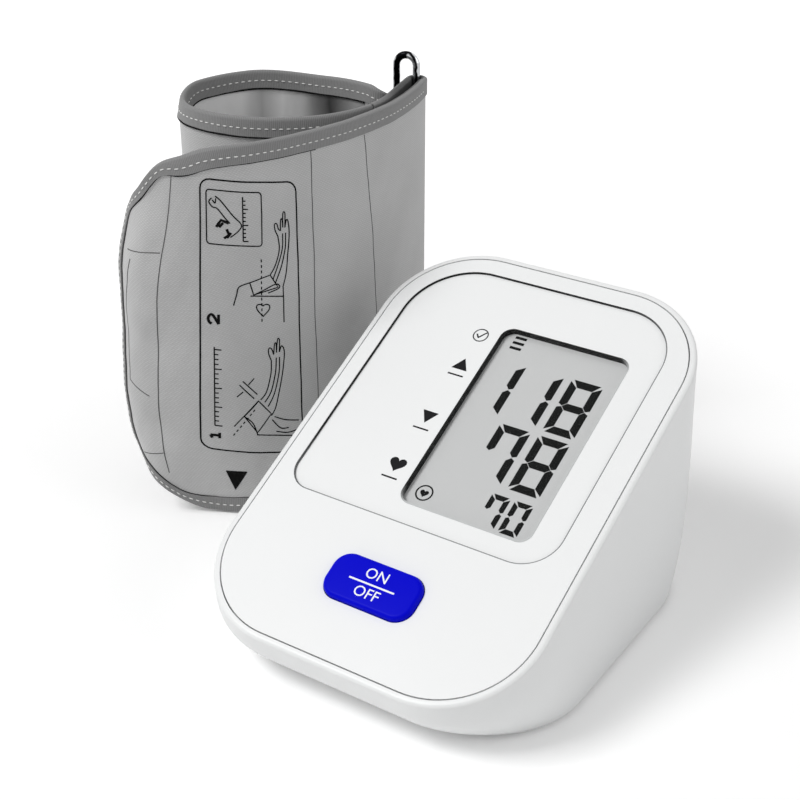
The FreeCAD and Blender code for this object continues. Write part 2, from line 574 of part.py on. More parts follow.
def base_plate():
    gap = "shell_wall + fit_gap"
    plate = slab("floor_plate", f"{gap} - base_width / 2", f"base_width / 2 - ({gap})",
                 f"base_front + {gap}", f"base_rear - ({gap})", f"base_radius - ({gap})",
                 "foot_height", "foot_height + plate_thick")
    bay = box("bay_outside", ("-bay_half - bay_wall", "bay_half + bay_wall"),
              ("bay_front - bay_wall", f"{bay_rear} + bay_wall"), ("foot_height", shelf_top))
    shelf = box("pump_shelf", ("shelf_left", "bay_half"), ("bay_front - bay_wall", f"{bay_rear} + bay_wall"),
                ("bay_top", shelf_top))
    hollow = box("bay_hollow", ("-bay_half", "bay_half"), ("bay_front", bay_rear), ("0", "bay_top"))
    slots = [box(f"hook_slot_{index}", (f"{low} - fit_gap", f"{high} + fit_gap"),
                 ("bay_front - bay_wall - 1", "bay_front + 1"),
                 ("foot_height + plate_thick", "foot_height + plate_thick + slot_height"))
             for index, (low, high) in enumerate((("-hook_far", "-hook_near"), ("hook_near", "hook_far")))]
    seats, holes, sinks = [], [], []
    for side, row in corners:
        tag = f"{row}_{side + 1}"
        seats.append(rod(f"foot_seat_{tag}", "foot_radius + seat_gap",
                         (f"{side} * {row}_foot_side", f"{row}_foot_y", "0"), "foot_height + foot_seat"))
        at = (f"{side} * post_side", f"post_{row}", "0")
        holes.append(rod(f"case_hole_{tag}", "case_screw + fit_gap", at, "foot_height + plate_thick + 1"))
        sinks.append(rod(f"case_sink_{tag}", "case_head + fit_gap", at, "foot_height + case_head_sink"))
    ribs = [box(f"cell_rib_{index}", (f"{column} * cell_pitch - cell_rib / 2",
                                      f"{column} * cell_pitch + cell_rib / 2"),
                ("bay_front", bay_rear), ("bay_top - cell_rib_drop", "bay_top"))
            for index, column in enumerate((-1, 0, 1))]
    opened = cut("plate_opened", fuse("plate_solid", plate, bay, shelf), hollow, *slots, *seats, *holes,
                 *sinks)
    node("base_plate", fuse("base_plate", opened, *ribs))


def battery_door():
    low, top = "foot_height", "foot_height + door_thick"
    leaf = box("door_leaf", ("-bay_half + door_gap", "bay_half - door_gap"),
               ("bay_front + door_gap", f"{bay_rear} - door_gap"), (low, top))
    hook_low = "foot_height + plate_thick + 0.15"
    hooks = []
    for index, (left, right) in enumerate((("-hook_far", "-hook_near"), ("hook_near", "hook_far"))):
        hooks.append(box(f"door_hook_{index}", (left, right),
                         ("bay_front - hook_reach", "bay_front + door_gap + hook_root"),
                         (hook_low, f"{hook_low} + hook_thick")))
        hooks.append(box(f"door_riser_{index}", (left, right),
                         ("bay_front + door_gap", "bay_front + door_gap + hook_root"),
                         (top, f"{hook_low} + hook_thick")))
    grip = box("door_grip", ("-9", "9"), (f"{bay_rear} - 9", f"{bay_rear} - 5"), ("0", "foot_height + 0.7"))
    node("battery_door", cut("battery_door", fuse("door_solid", leaf, *hooks), grip))


def spring(name, radius, wire, length, coils, start, toward):
    """A wire wound round an axis: a quarter turn at a time, each an arc through three points of the helix."""
    size, steps = number(radius), 4 * int(number(coils))
    rise = number(length) / steps

    def spot(step):
        angle = step * math.pi / 2
        return Vector(size * math.cos(angle), size * math.sin(angle), rise * step)

    arcs = [Part.Arc(spot(step), spot(step + 0.5), spot(step + 1)).toShape() for step in range(steps)]
    section = Part.Circle(spot(0), arcs[0].tangentAt(arcs[0].FirstParameter), number(wire) / 2)
    item = doc.addObject("Part::Feature", name)
    item.Shape = Part.Wire(arcs).makePipeShell([Part.Wire([section.toShape()])], True, True)
    item.Placement = FreeCAD.Placement(Vector(), turns[toward])
    return place(item, *start)


def batteries():
    cells, plates, springs = [], [], []
    for index, column in enumerate(cell_columns):
        x = f"({column} * cell_pitch)"
        near, far = "(bay_front + contact_thick)", f"({bay_rear} - contact_thick)"
        slack = "(bay_length - 2 * contact_thick - cell_length - nub_length)"
        for wall, face in (("front", near), ("rear", bay_rear)):
            plates.append(box(f"contact_{wall}_{index}", (f"{x} - contact_half", f"{x} + contact_half"),
                              (f"{face} - contact_thick", face), ("contact_low", "contact_high")))
        if index % 2:
            body_start, nub_start, toward, coil_start = f"({near} + nub_length)", near, "+y", f"{far} - {slack}"
        else:
            body_start, nub_start, toward, coil_start = f"({near} + {slack})", f"({far} - nub_length)", "+y", near
        cells.append(fuse(f"cell_{index}",
                          rod(f"cell_can_{index}", "cell_radius", (x, body_start, "cell_height"),
                              "cell_length", toward),
                          rod(f"cell_nub_{index}", "nub_radius", (x, nub_start, "cell_height"),
                              "nub_length", toward)))
        springs.append(spring(f"contact_coil_{index}", "contact_coil", "contact_wire",
                              f"{slack} - 2 * contact_wire", "contact_turns",
                              (x, f"{coil_start} + contact_wire", "cell_height"), "+y"))
    node("batteries", group("batteries", *cells))
    node("contact_plates", group("contact_plates", *plates))
    node("contact_springs", group("contact_springs", *springs))


def feet_and_screws():
    feet = [rod(f"foot_{row}_{side + 1}", "foot_radius", (f"{side} * {row}_foot_side", f"{row}_foot_y", "0"),
                "foot_height + foot_seat") for side, row in corners]
    node("rubber_feet", group("rubber_feet", *feet))
    screws = []
    for side, row in corners:
        tag = f"{row}_{side + 1}"
        head_top = "foot_height + case_head_sink"
        at = (f"{side} * post_side", f"post_{row}", head_top)
        driver = box(f"case_slot_{tag}", (f"{side} * post_side - 0.4", f"{side} * post_side + 0.4"),
                     (f"post_{row} - 2", f"post_{row} + 2"), ("0", f"{head_top} - case_head_thick + 0.6"))
        screw = fuse(f"case_screw_{tag}", rod(f"case_head_{tag}", "case_head", at, "case_head_thick", "-z"),
                     rod(f"case_shank_{tag}", "case_screw", at, "case_screw_length"))
        screws.append(cut(f"slotted_screw_{tag}", screw, driver))
    node("case_screws", group("case_screws", *screws))


# ---- Pump, valve and air path ----

pump_z = f"({shelf_top} + pump_lift + pump_radius)"
head_end = "(pump_split + motor_seat)"


def pump_rod(name, radius, x, length, toward="+x"):
    return rod(name, radius, (x, "pump_y", pump_z), length, toward)


def pump():
    port = ("pump_left", "pump_y", "port_height")
    head = fuse("head_solid", pump_rod("head_case", "pump_radius", "pump_left", f"{head_end} - pump_left"),
                rod("head_barb", "barb_radius", port, "barb_length", "-x"))
    node("pump_housing", cut("pump_housing", head,
                             pump_rod("head_bore", "pump_bore", "pump_left + head_thick", "40"),
                             rod("head_duct", "barb_bore",
                                 ("pump_left + head_thick", "pump_y", "port_height"),
                                 "head_thick + barb_length + 1", "-x")))
    disc_left = "(pump_left + head_thick)"
    cups = [rod(f"pump_cup_{index}", "cup_radius",
                (f"{disc_left} + diaphragm_thick", f"pump_y + cup_circle * cos({turn})",
                 f"{pump_z} + cup_circle * sin({turn})"), "cup_height", "+x")
            for index, turn in enumerate((30, 150, 270))]
    node("pump_diaphragm", fuse("pump_diaphragm",
                                pump_rod("diaphragm_disc", "pump_bore - seat_gap", disc_left,
                                         "diaphragm_thick"), *cups))
    plate_left = f"({disc_left} + diaphragm_thick + cup_height + rubber_gap)"
    boss_end = f"({plate_left} + wobble_thick + wobble_boss_length)"
    plate = fuse("wobble_solid", pump_rod("wobble_disc", "wobble_radius", plate_left, "wobble_thick"),
                 pump_rod("wobble_boss_rod", "wobble_boss", plate_left, f"{boss_end} - {plate_left}"))
    node("wobble_plate", cut("wobble_plate", plate,
                             pump_rod("orbit_recess", "crank_offset + crank_radius + orbit_gap",
                                      "shaft_left - crank_length - 1", "20")))
    wheel = cut("eccentric_wheel", pump_rod("eccentric_disc", "eccentric_radius", "shaft_left",
                                            "eccentric_thick"),
                pump_rod("eccentric_bore", "shaft_radius + 0.02", "shaft_left + 0.5", "eccentric_thick"))
    crank = rod("crank_pin", "crank_radius", ("shaft_left", "pump_y", f"{pump_z} + crank_offset"),
                "crank_length", "-x")
    node("pump_eccentric", fuse("pump_eccentric", wheel, crank))

    can = cut("motor_can", pump_rod("can_outside", "can_radius", "pump_split", "can_length"),
              pump_rod("can_inside", "can_radius - can_wall", "pump_split + can_wall", "can_length"),
              pump_rod("can_hole", "shaft_radius + running_gap", "pump_split - 1", "4"))
    node("motor_can", can)
    can_end = "(pump_split + can_length)"
    node("motor_end_cap", cut("motor_end_cap",
                              pump_rod("end_cap_disc", "can_radius - can_wall - face_contact",
                                       f"{can_end} - end_cap_thick", "end_cap_thick"),
                              pump_rod("end_cap_bearing", "shaft_radius + running_gap",
                                       f"{can_end} - end_cap_thick - 1", "end_cap_thick")))
    node("motor_rotor", fuse("motor_rotor",
                             pump_rod("motor_shaft", "shaft_radius", "shaft_left + 0.6",
                                      f"{can_end} - 1.6 - (shaft_left + 0.6)"),
                             pump_rod("armature", "armature_radius", "armature_start", "armature_length"),
                             pump_rod("commutator", "commutator_radius", "armature_start + armature_length",
                                      "commutator_length")))
    ring = cut("magnet_ring", pump_rod("magnet_outside", "can_radius - can_wall - face_contact",
                                       "armature_start",
                                       "armature_length"),
               pump_rod("magnet_inside", "armature_radius + magnet_gap", "armature_start - 1",
                        "armature_length + 2"),
               box("magnet_gap_slot", ("armature_start - 1", "armature_start + armature_length + 1"),
                   ("pump_y - 20", "pump_y + 20"), (f"{pump_z} - magnet_slit / 2",
                                                    f"{pump_z} + magnet_slit / 2")))
    node("motor_magnets", ring)
    block = box("cradle_block", ("cradle_left", "cradle_right"),
                ("pump_y - cradle_half", "pump_y + cradle_half"),
                (shelf_top, f"{shelf_top} + cradle_height"))
    node("pump_cradle", cut("pump_cradle", block,
                            pump_rod("cradle_head_trough", "pump_radius + seat_gap", "pump_left - 5",
                                     f"{head_end} - pump_left + 5"),
                            pump_rod("cradle_motor_trough", "can_radius + seat_gap", "pump_split",
                                     "can_length")))


def valve():
    axis = ("port_y", "port_height")
    yoke = cut("valve_yoke",
               box("yoke_block", ("valve_left", "valve_left + valve_length"),
                   ("port_y - valve_half", "port_y + valve_half"),
                   (shelf_top, "2 * port_height - " + shelf_top)),
               box("yoke_hollow", ("valve_left + valve_wall", "valve_left + valve_length - valve_wall"),
                   ("port_y - 20", "port_y + 20"),
                   (f"{shelf_top} + valve_wall", f"2 * port_height - {shelf_top} - valve_wall")),
               rod("yoke_hole", "armature_pin + running_gap", ("valve_left - 1", *axis), "valve_wall + 2",
                   "+x"))
    node("valve_yoke", yoke)
    inside = "(valve_left + valve_wall + seat_gap)"
    long = "(valve_length - 2 * valve_wall - 2 * seat_gap)"
    node("valve_coil", tube("valve_coil", "coil_radius", "coil_bore", (inside, *axis), long, "+x"))
    node("valve_armature", rod("valve_armature", "armature_pin", ("pin_left", *axis),
                               "pin_right - pin_left", "+x"))
    room = "(valve_left + valve_length - valve_wall - pin_right)"
    node("valve_spring", spring("valve_spring", "valve_coil_radius", "valve_wire", f"{room} - 2 * valve_wire",
                                "valve_turns", ("pin_right + valve_wire", *axis), "+x"))
    cap = fuse("nozzle_solid", rod("nozzle_cap", "nozzle_radius", ("nozzle_left", *axis),
                                   "valve_left - nozzle_left", "+x"),
               rod("nozzle_barb", "barb_radius", ("nozzle_left", *axis), "barb_length", "-x"))
    chamber = cut("nozzle_chamber",
                  rod("nozzle_room", "nozzle_bore", ("nozzle_left + nozzle_wall", *axis), "20", "+x"),
                  rod("nozzle_seat", "seat_radius", ("nozzle_left + nozzle_wall", *axis), "seat_length",
                      "+x"))
    node("valve_nozzle", cut("valve_nozzle", cap, chamber,
                             rod("nozzle_duct", "barb_bore", ("nozzle_left + nozzle_wall + 2", *axis),
                                 "20", "-x")))


def hose(name, points, bend):
    """A straight-and-arc rubber hose through the points, hollow."""
    def route():
        spots = [Vector(*(number(text) for text in point)) for point in points]
        if len(spots) == 2:
            return Part.Wire([Part.LineSegment(*spots).toShape()])
        a, b, c = spots
        into, out = (b - a).normalize(), (c - b).normalize()
        half = into.getAngle(out) / 2
        radius = number(bend)
        back = radius * math.tan(half)
        middle = b + (out - into).normalize() * (radius / math.cos(half) - radius)
        first, last = b - into * back, b + out * back
        return Part.Wire([Part.LineSegment(a, first).toShape(), Part.Arc(first, middle, last).toShape(),
                          Part.LineSegment(last, c).toShape()])

    spine = route()
    start = spine.OrderedVertexes[0].Point
    along = (spine.OrderedVertexes[1].Point - start).normalize()

    def swept(radius):
        ring = Part.Wire([Part.Circle(start, along, number(radius)).toShape()])
        return spine.makePipeShell([ring], True, False)

    item = doc.addObject("Part::Feature", name)
    item.Shape = swept("hose_radius").cut(swept("hose_bore"))
    return item


def air_path():
    low, high = "manifold_x - manifold_half", "manifold_x + manifold_half"
    front, rear = "port_y - manifold_half", "port_y + manifold_half"
    top = "(port_height + manifold_half)"
    centre = ("manifold_x", "port_y", "port_height")
    block = box("manifold_block", (low, high), (front, rear), (shelf_top, top))
    reach = "manifold_half + barb_length"
    ways = ("+x", "+y", "-x", "+z")
    barbs = [rod(f"manifold_barb_{index}", "barb_radius", centre, reach, way)
             for index, way in enumerate(ways)]
    ducts = [rod(f"manifold_duct_{index}", "barb_bore", centre, reach, way) for index, way in enumerate(ways)]
    # The four ducts meet in a round chamber.
    chamber = doc.addObject("Part::Sphere", "manifold_chamber")
    bind(chamber, Radius="chamber_radius")
    place(chamber, *centre)
    node("air_manifold", cut("air_manifold", fuse("manifold_solid", block, *barbs), chamber, *ducts))
    valve_end = ("nozzle_left - hose_end", "port_y", "port_height")
    node("hose_valve", hose("hose_valve", [(f"{high} + hose_end", "port_y", "port_height"), valve_end], None))
    node("hose_jack", hose("hose_jack", [("jack_inner + hose_end", "port_y", "port_height"),
                                         (f"{low} - hose_end", "port_y", "port_height")], None))
    node("hose_pump", hose("hose_pump", [("pump_left - hose_end", "pump_y", "port_height"),
                                         ("manifold_x", "pump_y", "port_height"),
                                         ("manifold_x", f"{rear} + hose_end", "port_height")], "hose_bend"))
    sensor_y = "rim_front + sensor_slope * cos(face_angle) + sensor_drop * sin(face_angle)"
    sensor_z = "front_height + sensor_slope * sin(face_angle) - sensor_drop * cos(face_angle)"
    node("hose_sensor", hose("hose_sensor", [("manifold_x", "port_y", f"{top} + hose_end"),
                                             ("manifold_x", "port_y", "sensor_corner"),
                                             ("manifold_x", sensor_y, sensor_z)], "sensor_bend"))
    barrel = fuse("jack_solid",
                  rod("jack_barrel", "jack_radius", ("jack_end", "port_y", "port_height"),
                      "jack_inner - jack_end", "+x"),
                  rod("jack_collar", "jack_flange", ("jack_flange_left", "port_y", "port_height"),
                      "jack_flange_thick", "+x"),
                  rod("jack_barb", "barb_radius", ("jack_inner", "port_y", "port_height"), "barb_length",
                      "+x"))
    node("air_jack", cut("air_jack", barrel,
                         rod("jack_socket", "jack_bore", ("jack_end", "port_y", "port_height"),
                             "jack_depth", "+x"),
                         rod("jack_duct", "barb_bore", ("jack_end", "port_y", "port_height"), "30", "+x")))
    power = fuse("power_solid", box("power_block", ("power_x - power_half", "power_x + power_half"),
                                    ("power_front", "power_rear"), (shelf_top, "power_top")),
                 rod("power_collar_rod", "power_collar", ("power_x", "power_rear", "power_height"),
                     "power_collar_end - power_rear", "+y"))
    socket = rod("power_socket", "power_bore", ("power_x", "power_collar_end", "power_height"),
                 "power_depth", "-y")
    pin = rod("power_pin_rod", "power_pin", ("power_x", "power_collar_end - 1", "power_height"),
              "power_depth", "-y")
    node("power_jack", fuse("power_jack", cut("power_shell", power, socket), pin))


# ---- Arm cuff ----

class Ribbon:
    """A path in plan made of straight and curved runs. Headings are in degrees, anticlockwise from +X."""

    def __init__(self, x, y, heading):
        self.start = (x, y, heading)
        self.runs = []

    def line(self, length):
        self.runs.append((length, None))
        return self

    def arc(self, radius, sweep):
        """A positive sweep turns left, a negative one right."""
        self.runs.append((radius, sweep))
        return self

    def states(self):
        x, y, heading = self.start
        found = [(x, y, heading)]
        for size, sweep in self.runs:
            way = math.radians(heading)
            if sweep is None:
                x, y = x + size * math.cos(way), y + size * math.sin(way)
            else:
                turn = math.copysign(1, sweep)
                cx, cy = x - turn * size * math.sin(way), y + turn * size * math.cos(way)
                heading += sweep
                way = math.radians(heading)
                x, y = cx + turn * size * math.sin(way), cy - turn * size * math.cos(way)
            found.append((x, y, heading))
        return found

    def edges(self, left):
        """The path moved to its left by some distance."""
        found = []
        states = self.states()
        for (size, sweep), (x0, y0, h0), (x1, y1, h1) in zip(self.runs, states, states[1:]):
            def spot(x, y, heading):
                way = math.radians(heading)
                return Vector(x - left * math.sin(way), y + left * math.cos(way), 0)
            if sweep is None:
                found.append(Part.LineSegment(spot(x0, y0, h0), spot(x1, y1, h1)).toShape())
            else:
                turn = math.copysign(1, sweep)
                way, half = math.radians(h0), math.radians(h0 + sweep / 2)
                cx, cy = x0 - turn * size * math.sin(way), y0 + turn * size * math.cos(way)
                mx, my = cx + turn * size * math.sin(half), cy - turn * size * math.cos(half)
                found.append(Part.Arc(spot(x0, y0, h0), spot(mx, my, h0 + sweep / 2),
                                      spot(x1, y1, h1)).toShape())
        return found

    def wall(self, right, left, low, high):
        """The upright sheet between two offsets of the path."""
        near, far = self.edges(-right), self.edges(left)
        ends = [Part.LineSegment(near[-1].lastVertex(True).Point, far[-1].lastVertex(True).Point).toShape(),
                Part.LineSegment(near[0].firstVertex(True).Point, far[0].firstVertex(True).Point).toShape()]
        loop = Part.Wire(Part.__sortEdges__(near + far + ends))
        face = Part.Face(loop)
        face.translate(Vector(0, 0, low))
        return face.extrude(Vector(0, 0, high - low))


def feature(name, shape):
    item = doc.addObject("Part::Feature", name)
    item.Shape = shape
    return item


def upright(point, z):
    return Vector(point.x, point.y, z)


def polar(length, degrees):
    return Vector(length * math.cos(math.radians(degrees)), length * math.sin(math.radians(degrees)), 0)


def sleeve_path(bar):
    """The oval in plan, anticlockwise, with the neck of three runs that leads into it from the ring's inner bar."""
    long, short, end = number("oval_long"), number("oval_short"), number("oval_end")
    side = (long ** 2 + short ** 2 - 2 * long * end) / (2 * (short - end))
    half = math.degrees(math.atan2(long - end, side - short))
    axis, lead, round_in = number("cuff_turn"), number("lead_in"), number("lead_radius")
    heading = axis + 180 - half
    centre = Vector(number("cuff_centre_x"), number("cuff_centre_y"), 0)
    pivot = centre + polar(long - end, axis) + polar(end + round_in, heading - 90) - polar(lead, heading)
    away = pivot - bar
    toward = math.degrees(math.atan2(away.y, away.x)) + math.degrees(math.asin(round_in / away.Length))
    path = Ribbon(bar.x, bar.y, toward % 360).line(math.sqrt(away.Length ** 2 - round_in ** 2))
    path.arc(round_in, heading - toward % 360).line(lead)
    return path.arc(side, 2 * half).arc(end, 180 - 2 * half).arc(side, 2 * half)


def strap_path(sleeve, outer):
    """From the sleeve's end between the ring's bars, clockwise round the outer bar and back along the front."""
    x, y, heading = sleeve.states()[-1]
    wrap = number("ring_wire + ring_gap + strap_thick / 2")
    toward = number("ring_turn") + 180
    through = toward - 90
    first, last = polar(1, heading), polar(1, through)
    gap = outer + polar(wrap, toward) - Vector(x, y, 0)
    cross = first.x * last.y - first.y * last.x
    ahead = (gap.x * last.y - gap.y * last.x) / cross
    beyond = (first.x * gap.y - first.y * gap.x) / cross
    bend = through - heading % 360
    reach = 0.95 * min(ahead, beyond)
    path = Ribbon(x, y, heading % 360).line(ahead - reach).arc(reach / math.tan(math.radians(bend / 2)), bend)
    path.line(beyond - reach).arc(wrap, number("flap_heading") - 360 - through)
    return path.arc(number("flap_radius"), -number("flap_sweep"))


def tape(path, half):
    """Binding tape folded over both long edges of a ribbon."""
    wall, gap, width, hem = (number(text) for text in ("tape_wall", "tape_gap", "tape_width", "hem"))
    height = number("cuff_height")
    outside, inside = half + gap + wall, half + gap
    low = path.wall(outside, outside, 0, width).cut(path.wall(inside, inside, hem - gap, width))
    high = path.wall(outside, outside, height - width, height)
    high = high.cut(path.wall(inside, inside, height - width, height - hem + gap))
    return Part.makeCompound(low.Solids + high.Solids)


def cuff():
    outer = Vector(number("cuff_centre_x + ring_side"), number("cuff_centre_y + ring_back"), 0)
    inner = outer - polar(number("ring_span"), number("ring_turn"))
    sleeve = sleeve_path(inner)
    strap = strap_path(sleeve, outer)
    relief = Part.makeCylinder(number("ring_relief"), number("relief_height"), (inner + outer) * 0.5)
    low, high = number("hem"), number("cuff_height - hem")
    cloth = number("cloth")
    core = number("bladder_thick / 2 + sleeve_gap")
    thick = core + cloth

    oval = Ribbon(*sleeve.states()[3])
    oval.runs = sleeve.runs[3:]
    neck = Ribbon(*sleeve.start)
    neck.runs = sleeve.runs[:3]
    lead = neck.wall(thick, thick, low, high)
    hole = number("ring_wire + ring_gap / 2")
    roll = Part.makeCylinder(hole + cloth, high - low, upright(inner, low))
    fold = lead.fuse(roll).cut(Part.makeCylinder(hole, high, inner))
    way, root, pieces = nipple(oval, core)
    outside = oval.wall(thick, -core, low, high).fuse(fold).removeSplitter()
    outside = outside.cut(relief).cut(Part.makeCylinder(number("nipple_stub"), cloth * 3,
                                                        root - way * cloth, way))
    node("cuff_sleeve", feature("cuff_sleeve", outside))
    node("cuff_lining", feature("cuff_lining", oval.wall(-core, thick, low, high)))
    node("cuff_nipple", feature("cuff_nipple", pieces.cut(outside)))
    node("air_bladder", feature("air_bladder", bladder(oval)))
    node("sleeve_tape", feature("sleeve_tape", tape(oval, thick)))

    half = number("strap_thick / 2")
    end = strap.states()[-1]
    nose = Part.makeCylinder(half, high - low, Vector(end[0], end[1], low))
    node("cuff_strap", feature("cuff_strap", strap.wall(half, half, low, high).fuse(nose).cut(relief)))
    bow = number("flap_radius")
    clear = math.degrees(number("tape_start") / bow)
    flap = Ribbon(*Ribbon(*strap.states()[4]).arc(bow, -clear).states()[-1])
    flap.arc(bow,
             clear + math.degrees(number("strap_thick / 2 + tape_gap + tape_wall") / bow) - number("flap_sweep"))
    # The same tape runs up the strap before it turns round the ring's outer bar.
    (first, _), (bow_in, lean), (last, _) = strap.runs[:3]
    rise = Ribbon(*Ribbon(*strap.start).line(number("peel_gap")).states()[-1])
    rise.line(first - number("peel_gap")).arc(bow_in, lean).line(last - number("tape_start"))
    bound_edges = Part.makeCompound(tape(rise, half).Solids + tape(flap, half).Solids)
    node("strap_tape", feature("strap_tape", bound_edges.cut(relief)))
    flap_tip(end, half)
    d_ring(inner, outer)


def bladder(oval):
    """The flat air bag between cloth and lining, short of both ends and of both long edges."""
    inset, margin = number("bladder_inset"), number("bladder_margin")
    (side, sweep), (end, turn), _ = oval.runs
    trim = math.degrees(margin / side)
    start = Ribbon(*oval.start).arc(side, trim).states()[-1]
    bag = Ribbon(*start).arc(side, sweep - trim).arc(end, turn).arc(side, sweep - trim)
    half = number("bladder_thick / 2")
    return bag.wall(half, half, inset, number("cuff_height") - inset)


def nipple(oval, core):
    """Where the air hose pushes on, low on the rear of the sleeve: a flange on the cloth, a stub to the bladder."""
    side, sweep = oval.runs[0]
    x, y, heading = Ribbon(*oval.start).arc(side, sweep / 2).states()[-1]
    way = polar(1, heading - 90)
    root = Vector(x, y, number("nipple_height")) + way * core
    cloth, flange, length = number("cloth"), number("nipple_flange"), number("nipple_length")
    disc = Part.makeCylinder(number("nipple_radius"), cloth / 2 + flange, root + way * cloth / 2, way)
    stub = Part.makeCylinder(number("nipple_stub"), cloth + length, root, way)
    return way, root, disc.fuse(stub).cut(Part.makeCylinder(number("nipple_bore"), cloth + length, root, way))


def tip_outline(state, inset):
    """The flap's rounded end seen square on, as a block that crosses it."""
    low, high = number("peel_lift") + inset, number("cuff_height") - inset
    radius = number("tip_corner") - inset
    x, y, heading = state
    way = heading - number("tip_sweep") / 2
    chord = 2 * number("tip_radius") * math.sin(math.radians(number("tip_sweep") / 2))
    length = chord - inset
    depth = number("tip_radius")
    diagonal = radius * (1 - math.sqrt(0.5))

    def spot(run, rise):
        return Vector(x, y, rise) + polar(run, way) - polar(depth, way + 90)

    edges = [
        Part.LineSegment(spot(-depth, low), spot(length - radius, low)),
        Part.Arc(spot(length - radius, low), spot(length - diagonal, low + diagonal),
                 spot(length, low + radius)),
        Part.LineSegment(spot(length, low + radius), spot(length, high - radius)),
        Part.Arc(spot(length, high - radius), spot(length - diagonal, high - diagonal),
                 spot(length - radius, high)),
        Part.LineSegment(spot(length - radius, high), spot(-depth, high)),
        Part.LineSegment(spot(-depth, high), spot(-depth, low)),
    ]
    return Part.Face(Part.Wire([edge.toShape() for edge in edges])).extrude(polar(2 * depth, way + 90))


def flap_tip(state, half):
    """The last stretch of the flap, which peels about an upright line at its start."""
    radius, low, high = number("tip_radius"), number("peel_lift"), number("cuff_height")
    skip = math.degrees((half + number("peel_gap")) / radius)
    begin = Ribbon(*state).arc(radius, -skip).states()[-1]
    run = Ribbon(*begin).arc(radius, skip - number("tip_sweep"))
    hem, wall, gap, width = (number(text) for text in ("hem", "tape_wall", "tape_gap", "tape_width"))
    node("flap_tip", feature("flap_tip", run.wall(half, half, low, high).common(tip_outline(state, hem))))
    over, under = half + gap + wall, half + gap
    rim = run.wall(over, over, low, high).common(tip_outline(state, 0)).cut(tip_outline(state, width))
    core = run.wall(under, under, low, high).common(tip_outline(state, hem - gap))
    node("tip_tape", feature("tip_tape", rim.cut(core)))
    patch = Ribbon(*Ribbon(*begin).arc(radius, -number("patch_start")).states()[-1])
    patch.arc(radius, -number("patch_sweep"))
    node("hook_patch", feature("hook_patch", patch.wall(half + number("patch_thick"), -half,
                                                        number("patch_low"), number("patch_high"))))


def d_ring(inner, outer):
    """Two upright bars joined by a half round at each end."""
    wire, low, high = number("ring_wire"), number("ring_floor"), number("ring_high")
    bend = (outer - inner).Length / 2
    centre = (inner + outer) * 0.5
    bottom, top = low + wire + bend, high - wire - bend
    path = Part.Wire([
        Part.LineSegment(upright(inner, bottom), upright(inner, top)).toShape(),
        Part.Arc(upright(inner, top), upright(centre, top + bend), upright(outer, top)).toShape(),
        Part.LineSegment(upright(outer, top), upright(outer, bottom)).toShape(),
        Part.Arc(upright(outer, bottom), upright(centre, bottom - bend), upright(inner, bottom)).toShape()])
    section = Part.Wire([Part.Circle(upright(inner, bottom), Vector(0, 0, 1), wire).toShape()])
    node("d_ring", feature("d_ring", path.makePipeShell([section], True, False)))


side_shell()
face_cover()
display()
start_button()
main_board()
base_plate()
battery_door()
batteries()
feet_and_screws()
pump()
valve()
air_path()
cuff()
doc.recompute()

for item in doc.Objects:
    if "Invalid" in item.State or "Error" in item.State:
        raise RuntimeError(f"{item.Name} failed: {item.State}")
for name, item in nodes.items():
    if item.Shape.isNull() or not item.Shape.isValid() or not item.Shape.Solids:
        raise RuntimeError(f"{name} has no valid solid")

os.makedirs("parts", exist_ok=True)
for name, item in nodes.items():
    item.Shape.exportStep(f"parts/{name}.step")
print(len(nodes), "nodes written")
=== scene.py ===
import json
import math

import bmesh
import bpy
import numpy as np
from mathutils import Matrix, Vector


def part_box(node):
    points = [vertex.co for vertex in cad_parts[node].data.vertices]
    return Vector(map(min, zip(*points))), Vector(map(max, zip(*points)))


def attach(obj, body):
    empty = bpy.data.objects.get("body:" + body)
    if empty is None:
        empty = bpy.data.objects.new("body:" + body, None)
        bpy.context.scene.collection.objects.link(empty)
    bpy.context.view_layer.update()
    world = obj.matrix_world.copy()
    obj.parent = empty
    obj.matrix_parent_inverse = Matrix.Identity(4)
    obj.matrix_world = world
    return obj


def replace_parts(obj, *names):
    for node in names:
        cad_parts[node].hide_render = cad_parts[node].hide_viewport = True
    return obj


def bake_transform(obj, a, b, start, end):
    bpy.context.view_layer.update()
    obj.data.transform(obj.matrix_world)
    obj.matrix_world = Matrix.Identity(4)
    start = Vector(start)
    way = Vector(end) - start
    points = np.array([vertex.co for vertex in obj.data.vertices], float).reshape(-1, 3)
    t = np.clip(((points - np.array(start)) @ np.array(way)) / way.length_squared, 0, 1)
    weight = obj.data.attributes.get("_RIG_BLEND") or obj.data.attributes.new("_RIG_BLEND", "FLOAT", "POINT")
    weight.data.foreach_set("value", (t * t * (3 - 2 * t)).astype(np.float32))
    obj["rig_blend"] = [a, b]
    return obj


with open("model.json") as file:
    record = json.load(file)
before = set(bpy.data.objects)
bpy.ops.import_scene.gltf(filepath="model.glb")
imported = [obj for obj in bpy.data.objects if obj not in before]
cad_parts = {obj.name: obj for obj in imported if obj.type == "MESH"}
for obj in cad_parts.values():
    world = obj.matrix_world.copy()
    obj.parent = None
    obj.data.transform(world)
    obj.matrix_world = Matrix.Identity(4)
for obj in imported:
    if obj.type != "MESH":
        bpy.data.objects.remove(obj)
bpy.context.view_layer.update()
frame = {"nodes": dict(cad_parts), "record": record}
nodes = frame["nodes"]
print("frame:", len(nodes), "solids")

mm = 0.001


# Node and material helpers

def linearColor(hexText):
    values = [int(hexText[i:i + 2], 16) / 255 for i in (1, 3, 5)]
    return tuple(v / 12.92 if v <= 0.04045 else ((v + 0.055) / 1.055) ** 2.4 for v in values) + (1.0,)


